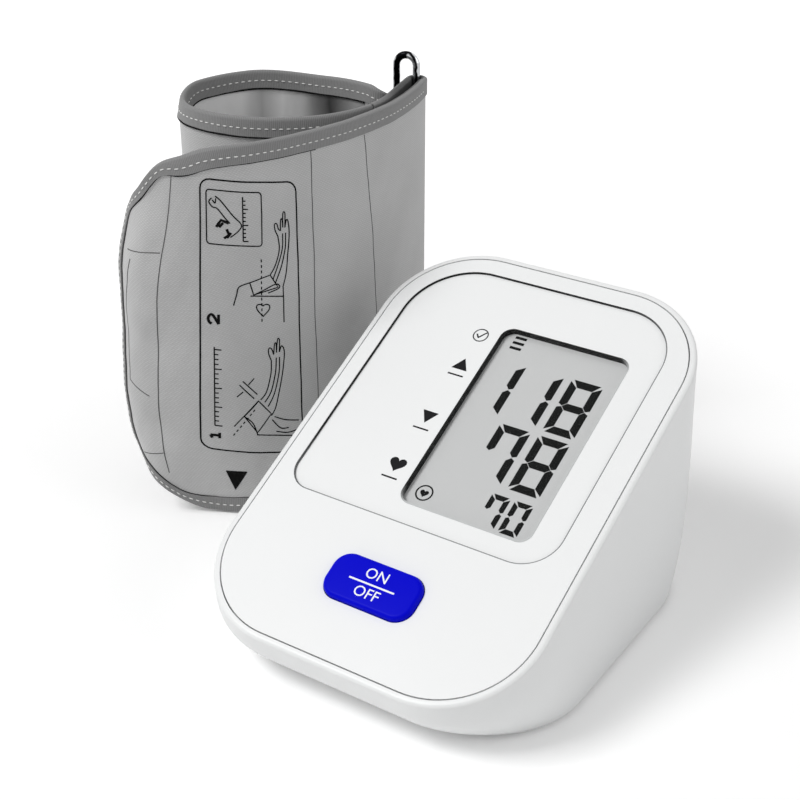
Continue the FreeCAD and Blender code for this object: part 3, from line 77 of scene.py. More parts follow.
def addNode(tree, kind, inputs=None, **settings):
    node = tree.nodes.new(kind)
    for name, value in settings.items():
        setattr(node, name, value)
    for name, value in (inputs or {}).items():
        socket = node.inputs[name]
        if isinstance(value, bpy.types.NodeSocket):
            tree.links.new(value, socket)
        else:
            socket.default_value = value
    return node


def newFinish(name, **sockets):
    finish = bpy.data.materials.new(name)
    finish.use_nodes = True
    shader = finish.node_tree.nodes["Principled BSDF"]
    for socket, value in sockets.items():
        shader.inputs[socket.replace("_", " ")].default_value = value
    return finish, finish.node_tree, shader


def drive(tree, shader, **sockets):
    # Links each of the shader's sockets, with _ for a space in its name, to the output given for it.
    for socket, output in sockets.items():
        tree.links.new(output, shader.inputs[socket.replace("_", " ")])


def twoTone(tree, factor, low, high, start=0.0, end=1.0):
    ramp = addNode(tree, "ShaderNodeValToRGB", {"Fac": factor})
    marks = ramp.color_ramp.elements
    marks[0].color, marks[0].position = low, start
    marks[1].color, marks[1].position = high, end
    return ramp.outputs["Color"]


def paintHollowShade(tree, colour):
    # Painted shade: darkens the cloth towards near black where its own attribute says that little light gets
    # in.
    deep = addNode(tree, "ShaderNodeAttribute", attribute_name="hollowShade").outputs["Fac"]
    # Inputs 6 and 7 and output 2 are a Mix node's colours.
    mixed = addNode(tree, "ShaderNodeMix", {"Factor": deep, 6: colour, 7: linearColor("#0D0D0E")},
                    data_type="RGBA")
    return mixed.outputs[2]


def shade(color, amount):
    return tuple(min(1.0, c * amount) for c in color[:3]) + (1.0,)


def moulded(name, color, roughness=0.42, grain=0.35, relief=0.012, tint=0.03, coat=0.0, shine=0.5):
    # Moulded plastic, rubber or ink: an even colour under a fine spark texture that softens its highlights.
    # Sizes in millimetres: grain is the texture's pitch, relief its depth.
    base = linearColor(color)
    finish, tree, shader = newFinish(name, Coat_Weight=coat, Specular_IOR_Level=shine)
    place = addNode(tree, "ShaderNodeTexCoord").outputs["Object"]
    cloud = addNode(tree, "ShaderNodeTexNoise", {"Vector": place, "Scale": 45, "Detail": 2})
    fine = addNode(tree, "ShaderNodeTexNoise", {"Vector": place, "Scale": 1 / (grain * mm), "Detail": 1})
    rough = addNode(tree, "ShaderNodeMapRange", {
        "Value": fine.outputs["Fac"], "To Min": roughness - 0.06, "To Max": roughness + 0.06})
    bump = addNode(tree, "ShaderNodeBump", {"Height": fine.outputs["Fac"], "Strength": 0.5,
                                            "Distance": relief * mm})
    colour = twoTone(tree, cloud.outputs["Fac"], shade(base, 1 - tint), shade(base, 1 + tint))
    drive(tree, shader, Base_Color=colour, Roughness=rough.outputs["Result"], Normal=bump.outputs["Normal"])
    return finish


def brushed(name, color, roughness=0.25, pitch=0.2, stretch=(1, 1, 14), relief=0.004):
    # Drawn or plated metal: fine lines along its stretch spread each highlight across them.
    base = linearColor(color)
    finish, tree, shader = newFinish(name, Metallic=1.0)
    place = addNode(tree, "ShaderNodeTexCoord").outputs["Object"]
    spread = addNode(tree, "ShaderNodeMapping", {"Vector": place, "Scale": [1 / s for s in stretch]})
    lines = addNode(tree, "ShaderNodeTexNoise", {"Vector": spread.outputs["Vector"],
                                                 "Scale": 1 / (pitch * mm)})
    rough = addNode(tree, "ShaderNodeMapRange", {
        "Value": lines.outputs["Fac"], "To Min": roughness * 0.7, "To Max": roughness * 1.3})
    bump = addNode(tree, "ShaderNodeBump", {"Height": lines.outputs["Fac"], "Strength": 0.4,
                                            "Distance": relief * mm})
    colour = twoTone(tree, lines.outputs["Fac"], shade(base, 0.9), shade(base, 1.05))
    drive(tree, shader, Base_Color=colour, Roughness=rough.outputs["Result"], Normal=bump.outputs["Normal"])
    return finish


def bandScale(pitch):
    # A wave texture's scale for bands this many millimetres apart.
    return 0.314 / (pitch * mm)


def twill(name, dark, light, pitch, yarnPitch=0.45, relief=0.06, slant=1.0):
    # Woven polyester: a soft diagonal weave with a faint bloom at grazing angles.
    # It follows the piece's own UV map, which is in metres along and up the cloth.
    finish, tree, shader = newFinish(name, Sheen_Weight=0.25, Sheen_Roughness=0.4, Roughness=0.62)
    flat = addNode(tree, "ShaderNodeUVMap", uv_map="cloth").outputs["UV"]
    turned = addNode(tree, "ShaderNodeMapping", {"Vector": flat, "Rotation": (0, 0, slant)})
    rib = addNode(tree, "ShaderNodeTexWave", {
        "Vector": turned.outputs["Vector"], "Scale": bandScale(pitch), "Distortion": 0.6, "Detail": 1,
        "Detail Scale": 2})
    yarn = addNode(tree, "ShaderNodeTexWave", {
        "Vector": flat, "Scale": bandScale(yarnPitch), "Distortion": 0.4}, bands_direction="Y")
    cloud = addNode(tree, "ShaderNodeTexNoise", {"Vector": flat, "Scale": 60, "Detail": 4})
    fibre = addNode(tree, "ShaderNodeTexNoise", {"Vector": flat, "Scale": 2600, "Detail": 2})
    weave = addNode(tree, "ShaderNodeMath", {0: rib.outputs["Fac"], 1: yarn.outputs["Fac"]},
                    operation="MULTIPLY")
    mixed = addNode(tree, "ShaderNodeMix", {
        "Factor": 0.45, "A": weave.outputs["Value"], "B": fibre.outputs["Fac"]})
    soft = addNode(tree, "ShaderNodeMix", {
        "Factor": 0.25, "A": mixed.outputs["Result"], "B": cloud.outputs["Fac"]})
    colour = twoTone(tree, soft.outputs["Result"], linearColor(dark), linearColor(light), 0.1, 0.75)
    bump = addNode(tree, "ShaderNodeBump", {
        "Height": weave.outputs["Value"], "Strength": 0.35, "Distance": relief * mm})
    drive(tree, shader, Base_Color=paintHollowShade(tree, colour), Normal=bump.outputs["Normal"])
    return finish


def grosgrain(name, dark, light, pitch=0.55, relief=0.08):
    # Ribbed binding or hook tape: fine ribs across its length, matt between them.
    finish, tree, shader = newFinish(name, Sheen_Weight=0.15, Sheen_Roughness=0.5, Roughness=0.7)
    flat = addNode(tree, "ShaderNodeUVMap", uv_map="cloth").outputs["UV"]
    rib = addNode(tree, "ShaderNodeTexWave", {
        "Vector": flat, "Scale": bandScale(pitch), "Distortion": 0.3, "Detail": 1})
    fibre = addNode(tree, "ShaderNodeTexNoise", {"Vector": flat, "Scale": 1800, "Detail": 2})
    mixed = addNode(tree, "ShaderNodeMix", {"Factor": 0.4, "A": rib.outputs["Fac"],
                                            "B": fibre.outputs["Fac"]})
    colour = twoTone(tree, mixed.outputs["Result"], linearColor(dark), linearColor(light))
    bump = addNode(tree, "ShaderNodeBump", {
        "Height": mixed.outputs["Result"], "Strength": 0.5, "Distance": relief * mm})
    drive(tree, shader, Base_Color=paintHollowShade(tree, colour), Normal=bump.outputs["Normal"])
    return finish


def glossyLiningWithPaintedSheen(name, paintedBands, reach=80.0, relief=1.2):
    # Coated cloth, smooth enough to shine, whose colour holds bands of painted highlight and painted shade
    # along its upright folds.
    # The bands are (place, colour), each place a share of the reach in millimetres along the UV map.
    finish, tree, shader = newFinish(name, Roughness=0.34, Sheen_Weight=0.1)
    flat = addNode(tree, "ShaderNodeUVMap", uv_map="cloth").outputs["UV"]
    drawn = addNode(tree, "ShaderNodeMapping", {"Vector": flat, "Scale": (1.0, 0.3, 1.0)})
    fold = addNode(tree, "ShaderNodeTexNoise", {"Vector": drawn.outputs["Vector"], "Scale": 55, "Detail": 3})
    along = addNode(tree, "ShaderNodeSeparateXYZ", {"Vector": flat}).outputs["X"]
    share = addNode(tree, "ShaderNodeMapRange", {"Value": along, "From Max": reach * mm}).outputs["Result"]
    swing = addNode(tree, "ShaderNodeMapRange", {"Value": fold.outputs["Fac"], "To Min": -0.08,
                                                 "To Max": 0.08})
    place = addNode(tree, "ShaderNodeMath", {0: share, 1: swing.outputs["Result"]}, operation="ADD")
    ramp = addNode(tree, "ShaderNodeValToRGB", {"Fac": place.outputs["Value"]})
    marks = ramp.color_ramp.elements
    marks[0].position, marks[0].color = paintedBands[0][0], linearColor(paintedBands[0][1])
    marks[1].position, marks[1].color = paintedBands[-1][0], linearColor(paintedBands[-1][1])
    for spot, colour in paintedBands[1:-1]:
        marks.new(spot).color = linearColor(colour)
    bump = addNode(tree, "ShaderNodeBump", {"Height": fold.outputs["Fac"], "Strength": 0.6,
                                            "Distance": relief * mm})
    drive(tree, shader, Base_Color=ramp.outputs["Color"], Normal=bump.outputs["Normal"])
    return finish


def chrome(name, dark, light, nearSide=(-77.5, -74.5)):
    # Plated wire with a painted reflection in its colour: dark along the middle of its sides and light at
    # their edges.
    # The bar at the left of nearSide, in millimetres along X, gets more of the painted dark.
    finish, tree, shader = newFinish(name, Metallic=1.0, Roughness=0.07)
    facing = addNode(tree, "ShaderNodeNewGeometry").outputs["Normal"]
    side = addNode(tree, "ShaderNodeVectorMath", {0: facing, 1: (0.83, 0.55, 0.0)}, operation="DOT_PRODUCT")
    place = addNode(tree, "ShaderNodeTexCoord").outputs["Object"]
    streak = addNode(tree, "ShaderNodeTexNoise", {"Vector": place, "Scale": 420, "Detail": 1})
    swing = addNode(tree, "ShaderNodeMapRange", {"Value": streak.outputs["Fac"], "To Min": -0.5,
                                                 "To Max": 0.5})
    across = addNode(tree, "ShaderNodeMath", {0: side.outputs["Value"], 1: swing.outputs["Result"]},
                     operation="ADD")
    band = addNode(tree, "ShaderNodeMath", {0: across.outputs["Value"]}, operation="ABSOLUTE")
    spread = addNode(tree, "ShaderNodeSeparateXYZ", {"Vector": place}).outputs["X"]
    nearer = addNode(tree, "ShaderNodeMapRange", {
        "Value": spread, "From Min": nearSide[0] * mm, "From Max": nearSide[1] * mm, "To Min": -0.4,
        "To Max": 0.06})
    band = addNode(tree, "ShaderNodeMath", {0: band.outputs["Value"], 1: nearer.outputs["Result"]},
                   operation="ADD")
    drive(tree, shader, Base_Color=twoTone(
        tree, band.outputs["Value"], linearColor(dark), linearColor(light), 0.26, 0.44))
    return finish


def clearPlastic(name):
    # Clear acrylic seen square on: all but invisible, with a faint film of haze.
    finish, tree, shader = newFinish(name, Alpha=0.012, Roughness=0.06, IOR=1.49, Specular_IOR_Level=0.12)
    place = addNode(tree, "ShaderNodeTexCoord").outputs["Object"]
    haze = addNode(tree, "ShaderNodeTexNoise", {"Vector": place, "Scale": 300})
    drive(tree, shader, Base_Color=twoTone(
        tree, haze.outputs["Fac"], linearColor("#8E9292"), linearColor("#A2A6A6")))
    return finish


finishes = {
    "shell_plastic": moulded("whiteAbs", "#EDEEEE", 0.36, 0.3, 0.006, 0.01),
    "face_plastic": moulded("faceAbs", "#F0F1F1", 0.4, 0.3, 0.008, 0.01),
    "base_plastic": moulded("baseAbs", "#E4E5E5", 0.5, 0.5, 0.02, 0.015),
    "label_plate": moulded("labelPlate", "#F1F2F2", 0.34, 0.25, 0.004, 0.008),
    "black_gasket": moulded("blackGasket", "#0B0B0C", 0.5, 0.2, 0.01, 0.1),
    "clear_window": clearPlastic("clearWindow"),
    "lcd_glass": moulded("displayGlass", "#CACBCB", 0.22, 0.6, 0.001, 0.012),
    "reflector_film": moulded("reflectorFilm", "#B9BDB8", 0.3, 0.4, 0.002, 0.03),
    "zebra_rubber": moulded("zebraRubber", "#54565A", 0.7, 0.15, 0.03, 0.2),
    "holder_plastic": moulded("holderPlastic", "#D7D8D6", 0.5, 0.4, 0.015, 0.03),
    "button_blue": moulded("buttonBlue", "#0306CE", 0.4, 0.25, 0.004, 0.03, shine=0.05),
    "switch_plastic": moulded("switchPlastic", "#1D1D1F", 0.45, 0.3, 0.01, 0.1),
    "circuit_board": moulded("circuitBoard", "#1C6B3C", 0.35, 1.2, 0.02, 0.2, coat=0.4),
    "chip_black": moulded("chipEpoxy", "#17181A", 0.6, 0.12, 0.02, 0.15),
    "part_beige": moulded("ceramicParts", "#C4AE86", 0.5, 0.3, 0.01, 0.12),
    "nickel": brushed("nickelPlate", "#C9C5B8", 0.22, 0.25),
    "zinc_steel": brushed("zincSteel", "#B4B9BD", 0.32, 0.3),
    "cell_wrap": moulded("cellWrap", "#3A5B7C", 0.28, 0.5, 0.003, 0.12, coat=0.5),
    "foot_rubber": moulded("footRubber", "#3B3C3D", 0.8, 0.3, 0.04, 0.12),
    "foam": moulded("foamPad", "#48494B", 0.95, 0.6, 0.15, 0.2),
    "pump_plastic": moulded("pumpPlastic", "#E1DFD6", 0.45, 0.35, 0.015, 0.04),
    "pump_rubber": moulded("pumpRubber", "#26282A", 0.75, 0.3, 0.03, 0.15),
    "magnet_ferrite": moulded("ferrite", "#3A3735", 0.7, 0.2, 0.03, 0.2),
    "copper_coil": brushed("copperCoil", "#B5652F", 0.35, 0.12, (14, 1, 1), 0.02),
    "hose_rubber": moulded("hoseRubber", "#6E7072", 0.6, 0.4, 0.015, 0.1),
    "cuff_cloth": twill("greyTwill", "#A0A0A0", "#CACACA", 0.58),
    # The lining's colours are painted shade where they are dark and painted highlight where they are near
    # white.
    "cuff_lining": glossyLiningWithPaintedSheen("smoothLining", [
        (0.28, "#9A9A9A"), (0.36, "#6E6E6E"), (0.42, "#343434"), (0.5, "#8E8E8E"), (0.6, "#F4F4F4"),
        (0.7, "#C4C4C4"), (0.8, "#FAFAFA"), (0.95, "#F0F0F0")]),
    "binding_tape": grosgrain("bindingTape", "#6C6C6C", "#8C8C8C"),
    "bladder_film": moulded("bladderFilm", "#8F9296", 0.4, 0.5, 0.01, 0.08),
    "hook_tape": grosgrain("hookTape", "#8A8A8A", "#BEBEBE", 1.2),
    # The ring's two colours are the dark and light of its painted reflection.
    "ring_chrome": chrome("ringChrome", "#0C0C0E", "#D2D4D6"),
}
inkFinish = moulded("printInk", "#0A0A0A", 0.7, 0.2, 0.004, 0.15, shine=0.08)
threadFinish = moulded("whiteThread", "#E8E8E6", 0.6, 0.12, 0.03, 0.06)
segmentFinish = moulded("displaySegment", "#060706", 0.6, 0.3, 0.001, 0.1, shine=0.05)
labelInk = moulded("labelInk", "#161618", 0.6, 0.2, 0.003, 0.12, shine=0.1)
whiteInk = moulded("whiteInk", "#F6F7FA", 0.45, 0.2, 0.003, 0.02)
# Painted shade: near-black cords stand in for the shadow in the gap along the tapes' inner edges.
gapShadeFinish = moulded("gapShadeCord", "#0C0C0C", 0.8, 0.2, 0.02, 0.2, shine=0.1)
seamThread = moulded("seamThread", "#4A4A4A", 0.7, 0.2, 0.02, 0.2)

slotOf = {row["node"]: row["material_slot"] for row in frame["record"]["subparts"]}
for name, solid in nodes.items():
    solid.data.materials.clear()
    solid.data.materials.append(finishes[slotOf[name]])
print("finishes:", len(finishes))


# Objects and meshes

def newObject(name, data):
    item = bpy.data.objects.new(name, data)
    bpy.context.scene.collection.objects.link(item)
    return item


def addPiece(name, mesh, finish, body):
    mesh.materials.clear()
    mesh.materials.append(finish)
    piece = newObject(name, mesh)
    if body:
        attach(piece, body)
    return piece


def closedMesh(name, verts, faces):
    # A mesh with its faces pointing outwards.
    mesh = bpy.data.meshes.new(name)
    mesh.from_pydata([tuple(spot) for spot in verts], [], faces)
    shape = bmesh.new()
    shape.from_mesh(mesh)
    bmesh.ops.recalc_face_normals(shape, faces=shape.faces)
    shape.to_mesh(mesh)
    shape.free()
    return mesh


def joinMeshes(name, meshes):
    joined = bmesh.new()
    for mesh in meshes:
        joined.from_mesh(mesh)
        bpy.data.meshes.remove(mesh)
    mesh = bpy.data.meshes.new(name)
    joined.to_mesh(mesh)
    joined.free()
    return mesh


def evaluatedMesh(item):
    # What the object's modifiers or text come to, as a plain mesh; the object itself goes.
    bpy.context.view_layer.update()
    mesh = bpy.data.meshes.new_from_object(item.evaluated_get(bpy.context.evaluated_depsgraph_get()))
    bpy.data.objects.remove(item)
    return mesh


# The case: smooth copies of its moulded shapes, whose edges catch the light

smoothing = {"crease": 24.0, "clothCrease": 50.0, "weld": 0.0005}


def smoothCopy(node, name, body, finish):
    mesh = nodes[node].data.copy()
    mesh.name = name
    for normals in [a for a in mesh.attributes if a.name == "custom_normal"]:
        mesh.attributes.remove(normals)
    shape = bmesh.new()
    shape.from_mesh(mesh)
    bmesh.ops.remove_doubles(shape, verts=shape.verts, dist=smoothing["weld"] * mm)
    shape.to_mesh(mesh)
    shape.free()
    mesh.shade_smooth()
    mesh.set_sharp_from_angle(angle=math.radians(smoothing["crease"]))
    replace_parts(addPiece(name, mesh, finish, body), node)


for node, name in (("side_shell", "caseShell"), ("face_cover", "faceCover"), ("display_panel", "labelPanel"),
                   ("base_plate", "caseBase")):
    smoothCopy(node, name, "monitor", finishes[slotOf[node]])
smoothCopy("start_button", "startButton", "button", finishes["button_blue"])
smoothCopy("battery_door", "batteryDoor", "door", finishes["base_plastic"])
print("case: smooth shells")


def shadedLine(node, name, dark, pale, blur=2.5):
    # A thin joint line: its left and upper walls lie in shade, the others catch the light.
    low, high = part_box(node)
    width, depth = high[0] - low[0], high[1] - low[1]
    across = math.hypot(width, depth)
    sideways = (depth / across, -width / across, 0)
    middle = low[0] * sideways[0] + low[1] * sideways[1]
    finish, tree, shader = newFinish(name, Roughness=0.55, Specular_IOR_Level=0.2)
    place = addNode(tree, "ShaderNodeTexCoord").outputs["Object"]
    side = addNode(tree, "ShaderNodeVectorMath", {0: place, 1: sideways},
                   operation="DOT_PRODUCT").outputs["Value"]
    share = addNode(tree, "ShaderNodeMapRange", {
        "Value": side, "From Min": middle - blur * mm, "From Max": middle + blur * mm})
    drive(tree, shader, Base_Color=twoTone(
        tree, share.outputs["Result"], linearColor(dark), linearColor(pale)))
    nodes[node].data.materials[0] = finish


shadedLine("window_bezel", "windowEdge", "#050505", "#C4C6C6")
shadedLine("panel_gasket", "panelLine", "#0A0A0B", "#8A8C8D", 12.0)


# The face plane: s across, t up the slope, n out of the face, all in millimetres

face = {"angle": 26.5, "front": -64.5, "height": 17.5}
slope = math.radians(face["angle"])


def faceSpot(s, t, n):
    y = face["front"] + t * math.cos(slope) - n * math.sin(slope)
    z = face["height"] + t * math.sin(slope) + n * math.cos(slope)
    return Vector((s, y, z)) * mm


def flatPrint(name, outlines, low, high, finish, body):
    # Closed thin shapes standing on the face plane, one for each outline of (s, t) points.
    verts, faces = [], []
    for outline in outlines:
        top = list(range(len(verts), len(verts) + len(outline)))
        bottom = [i + len(outline) for i in top]
        verts += [faceSpot(s, t, n) for n in (high, low) for s, t in outline]
        faces += [top, bottom[::-1]]
        faces += [(b, a, c, d) for a, b, c, d in zip(top, top[1:] + top[:1], bottom, bottom[1:] + bottom[:1])]
    return addPiece(name, closedMesh(name, verts, faces), finish, body)


def barOutline(a, b, width):
    a, b = Vector(a), Vector(b)
    side = (b - a).normalized().orthogonal() * width / 2
    return [tuple(a + side), tuple(a - side), tuple(b - side), tuple(b + side)]


def ringOutlines(s, t, radius, width, count=20):
    turn = 2 * math.pi / count
    spots = [(math.cos(i * turn), math.sin(i * turn)) for i in range(count + 1)]
    return [[(s + a * radius, t + b * radius), (s + c * radius, t + d * radius),
             (s + c * (radius - width), t + d * (radius - width)),
             (s + a * (radius - width), t + b * (radius - width))]
            for (a, b), (c, d) in zip(spots, spots[1:])]


def heartOutline(s, t, size):
    steps = [2 * math.pi * i / 28 for i in range(28)]
    return [(s + size / 32 * 16 * math.sin(a) ** 3,
             t + size / 32 * (13 * math.cos(a) - 5 * math.cos(2 * a) - 2 * math.cos(3 * a) - math.cos(4 * a)))
            for a in steps]


# The display's figures

# Rows are (text, top, width, height, thickness, pitch); a segment's slant is a share of its thickness.
digits = {
    "on": {"0": "abcdef", "1": "bc", "7": "abcf", "8": "abcdefg"},
    "rows": [("118", 105.95, 9.6, 18.9, 2.4, 12.0), ("78", 85.35, 9.6, 18.8, 2.4, 12.0),
             ("70", 63.95, 5.6, 10.5, 1.55, 6.9)],
    "right": 26.8, "gap": 0.12, "slant": 0.24, "low": -2.32, "high": -2.26,
    "ring": (-3.6, 57.2, 2.6, 0.45), "heart": (-3.6, 57.1, 2.6),
    "bars": {"left": -5.4, "right": -1.8, "low": 110.6, "pitch": 1.9, "width": 0.9, "count": 3},
}


def segmentOutlines(left, top, width, height, thick, on):
    gap = digits["gap"]
    right, bottom, middle = left + width, top - height, top - height / 2
    half, cut = thick / 2, thick * digits["slant"]
    shapes = {
        "a": [(left + gap + cut, top), (right - gap - cut, top), (right - thick - gap, top - thick),
              (left + thick + gap, top - thick)],
        "d": [(left + gap + cut, bottom), (left + thick + gap, bottom + thick),
              (right - thick - gap, bottom + thick), (right - gap - cut, bottom)],
        "g": [(left + half + gap, middle), (left + thick + gap, middle + half),
              (right - thick - gap, middle + half),
              (right - half - gap, middle), (right - thick - gap, middle - half),
              (left + thick + gap, middle - half)],
        "b": [(right, top - gap - cut), (right, middle + gap + half * 0.5), (right - half, middle + gap),
              (right - thick, middle + gap + half), (right - thick, top - thick - gap)],
        "c": [(right, middle - gap - half * 0.5), (right, bottom + gap + cut),
              (right - thick, bottom + thick + gap),
              (right - thick, middle - gap - half), (right - half, middle - gap)],
    }
    shapes["f"] = [(left + right - s, t) for s, t in shapes["b"]]
    shapes["e"] = [(left + right - s, t) for s, t in shapes["c"]]
    return [shapes[letter] for letter in on]


figureShapes = []
for text, top, width, height, thick, pitch in digits["rows"]:
    for place, digit in enumerate(reversed(text)):
        left = digits["right"] - width - place * pitch
        figureShapes += segmentOutlines(left, top, width, height, thick, digits["on"][digit])
figureShapes += ringOutlines(*digits["ring"])
figureShapes.append(heartOutline(*digits["heart"]))
bars = digits["bars"]
for k in range(bars["count"]):
    t = bars["low"] + k * bars["pitch"]
    figureShapes.append(barOutline((bars["left"], t), (bars["right"], t), bars["width"]))
flatPrint("displayFigures", figureShapes, digits["low"], digits["high"], segmentFinish, "monitor")

# Marks on the label panel: upper value, lower value and pulse, and a tick in a ring
panelMarks = {
    "left": -17.2, "middle": -14.7, "right": -12.2, "low": -0.61, "high": -0.57,
    "upper": (97.3, 101.4), "lower": (81.2, 77.1), "heart": (62.1, 5.2), "lines": (95.2, 75.0, 57.4),
    "line": 0.5,
    "ring": (110.6, 2.4, 0.35), "tick": [(-16.0, 110.8), (-15.0, 109.6), (-15.1, 109.5), (-13.3, 112.0)],
    "tickLine": 0.45,
}
left, middle, right = (panelMarks[side] for side in ("left", "middle", "right"))
(upperBase, upperTip), (lowerBase, lowerTip) = panelMarks["upper"], panelMarks["lower"]
markShapes = [
    [(left, upperBase), (right, upperBase), (middle, upperTip)],
    [(left, lowerBase), (middle, lowerTip), (right, lowerBase)],
    heartOutline(middle, *panelMarks["heart"]),
]
markShapes += [barOutline((left, t), (right, t), panelMarks["line"]) for t in panelMarks["lines"]]
markShapes += ringOutlines(middle, *panelMarks["ring"])
for spots in (panelMarks["tick"][:2], panelMarks["tick"][2:]):
    markShapes.append(barOutline(*spots, panelMarks["tickLine"]))
flatPrint("panelMarks", markShapes, panelMarks["low"], panelMarks["high"], labelInk, "monitor")
print("display: figures and marks")


# Words on the button

buttonWords = {"low": 1.59, "middle": 1.61, "high": 1.63, "thick": 0.04, "size": 4.4,
               "rows": [("ON", 27.9), ("OFF", 22.2)], "line": (25.0, 14.0, 0.5)}


def wordMesh(text, size, thick):
    curve = bpy.data.curves.new("word", "FONT")
    curve.body = text
    curve.size = size * mm
    curve.extrude = thick / 2 * mm
    curve.align_x = "CENTER"
    curve.align_y = "CENTER"
    curve.resolution_u = 3
    return evaluatedMesh(newObject("word", curve))


for text, t in buttonWords["rows"]:
    mesh = wordMesh(text, buttonWords["size"], buttonWords["thick"])
    turn = Matrix.Rotation(slope, 4, "X")
    mesh.transform(Matrix.Translation(faceSpot(0, t, buttonWords["middle"])) @ turn)
    addPiece("buttonWord" + text.capitalize(), mesh, whiteInk, "button")
t, length, width = buttonWords["line"]
flatPrint("buttonLine", [barOutline((-length / 2, t), (length / 2, t), width)], buttonWords["low"],
          buttonWords["high"], whiteInk, "button")
print("button: words")


# Paths in plan for the cuff's cloth: millimetres and degrees, + sweep turns left

def walk(start, heading, runs, step):
    # The path's points as rows of distance, x, y and heading; each run is a length and a sweep.
    x, y = start
    rows, far = [(0.0, x, y, heading)], 0.0
    for length, sweep in runs:
        count = max(2, int(length / step))
        for _ in range(count):
            bend = math.radians(sweep / count)
            chord = length / count * (math.sin(bend / 2) / (bend / 2) if bend else 1)
            way = math.radians(heading + sweep / count / 2)
            x, y = x + chord * math.cos(way), y + chord * math.sin(way)
            heading, far = heading + sweep / count, far + length / count
            rows.append((far, x, y, heading))
    return np.array(rows)


def arcRun(radius, sweep):
    return radius * math.radians(abs(sweep)), sweep


def headingOn(path, along):
    return np.radians(np.interp(along, path[:, 0], path[:, 3]))


def onPath(path, along, up, out):
    # Points at a distance along the path, a height and an offset to the left of it, in metres.
    along, up, out = np.broadcast_arrays(along, up, out)
    x, y = (np.interp(along, path[:, 0], path[:, column]) for column in (1, 2))
    way = headingOn(path, along)
    return np.stack([x - out * np.sin(way), y + out * np.cos(way), up], -1) * mm


def distances(spots):
    # How far each point lies along a line of them.
    return np.concatenate([[0], np.cumsum(np.linalg.norm(np.diff(spots, axis=0), axis=1))])


def leftOf(line):
    # Unit directions to the left of a flat line, at each of its points.
    way = np.gradient(line, axis=0)
    way /= np.maximum(np.linalg.norm(way, axis=1, keepdims=True), 1e-6)
    return np.stack([-way[:, 1], way[:, 0]], -1)


cuff = {
    "height": 120.0, "hem": 0.5, "cloth": 1.0, "core": 0.5,
    "ringBar": (-78.885, 87.122), "outerBar": (-72.51, 88.83), "neckHeading": 288.876,
    "neck": [(10.636, 0), (2.5, -120.267), (3.0, 0)],
    "oval": [(35.423, 96.582), (16.0, 83.418), (35.423, 96.582)],
    "tapeWidth": 5.4, "tapeWall": 0.45, "tapeGap": 0.05,
    "relief": 7.7, "reliefEdge": 1.2, "reliefHeight": 6.4,
    "strapHalf": 0.8, "strapStart": (-68.461, 57.365), "strapHeading": 85.191,
    "rise": [(0.3, 0), (32.634, 19.809), (20.1, 0)], "turn": (2.2, -173.8), "flap": (95.0, -50.2),
    "tip": [(45.0, -40.0), (8.0, -56.0), (5.4, 0)], "tipHeading": 216.0, "tipCorner": 24.5,
    "printTurn": 7.2, "bendHalf": 8.0, "bendHeight": 60.0, "pathStep": 0.25,
}


def bends(runs):
    # Each run is a length and 0, or a radius and a sweep.
    return [arcRun(size, sweep) if sweep else (size, 0) for size, sweep in runs]


def runLength(runs):
    return sum(length for length, _ in bends(runs))


neckLength = runLength(cuff["neck"])
sleevePath = walk(cuff["ringBar"], cuff["neckHeading"], bends(cuff["neck"] + cuff["oval"]), cuff["pathStep"])
strapRuns = cuff["rise"] + [cuff["turn"], cuff["flap"]] + cuff["tip"]
strapPath = walk(cuff["strapStart"], cuff["strapHeading"], bends(strapRuns), cuff["pathStep"])
sleeveEnd = sleevePath[-1, 0]
risen = runLength(cuff["rise"])
turned = risen + runLength([cuff["turn"]])
hinge = turned + runLength([cuff["flap"]])
flapEnd = strapPath[-1, 0]
printZero = turned + math.radians(cuff["printTurn"]) * cuff["flap"][0]
hingeSpot = Vector(onPath(strapPath, hinge, cuff["bendHeight"], 0.0))
hingeWay = headingOn(strapPath, hinge)
bendZone = [hingeSpot + Vector((math.cos(hingeWay), math.sin(hingeWay), 0)) * side * cuff["bendHalf"] * mm
            for side in (-1, 1)]


def overRing(path, along):
    # How far the cloth's lower edge lifts to clear the ring's lower end.
    spots = onPath(path, along, 0.0, 0.0)[:, :2] / mm
    middle = (np.array(cuff["ringBar"]) + np.array(cuff["outerBar"])) / 2
    near = np.linalg.norm(spots - middle, axis=1)
    edge = cuff["reliefEdge"]
    return cuff["reliefHeight"] * np.clip((cuff["relief"] + edge - near) / edge, 0, 1)


def sweptMesh(name, rings, along, across):
    # Rings of points joined and capped; each is a thin loop whose second half runs back beside its first.
    count, size = rings.shape[:2]
    faces = [(i * size + j, i * size + (j + 1) % size, (i + 1) * size + (j + 1) % size, (i + 1) * size + j)
             for i in range(count - 1) for j in range(size)]
    for base in (0, (count - 1) * size):
        faces += [(base + j, base + j + 1, base + size - 2 - j, base + size - 1 - j)
                  for j in range(size // 2 - 1)]
    mesh = closedMesh(name, rings.reshape(-1, 3), faces)
    flat = np.stack([np.broadcast_to(values, (count, size)) for values in (along, across)], -1) * mm
    layer = mesh.uv_layers.new(name="cloth")
    spots = np.zeros(len(mesh.loops), int)
    mesh.loops.foreach_get("vertex_index", spots)
    layer.data.foreach_set("uv", flat.reshape(-1, 2)[spots].astype(np.float32).ravel())
    mesh.shade_smooth()
    mesh.set_sharp_from_angle(angle=math.radians(smoothing["clothCrease"]))
    return mesh


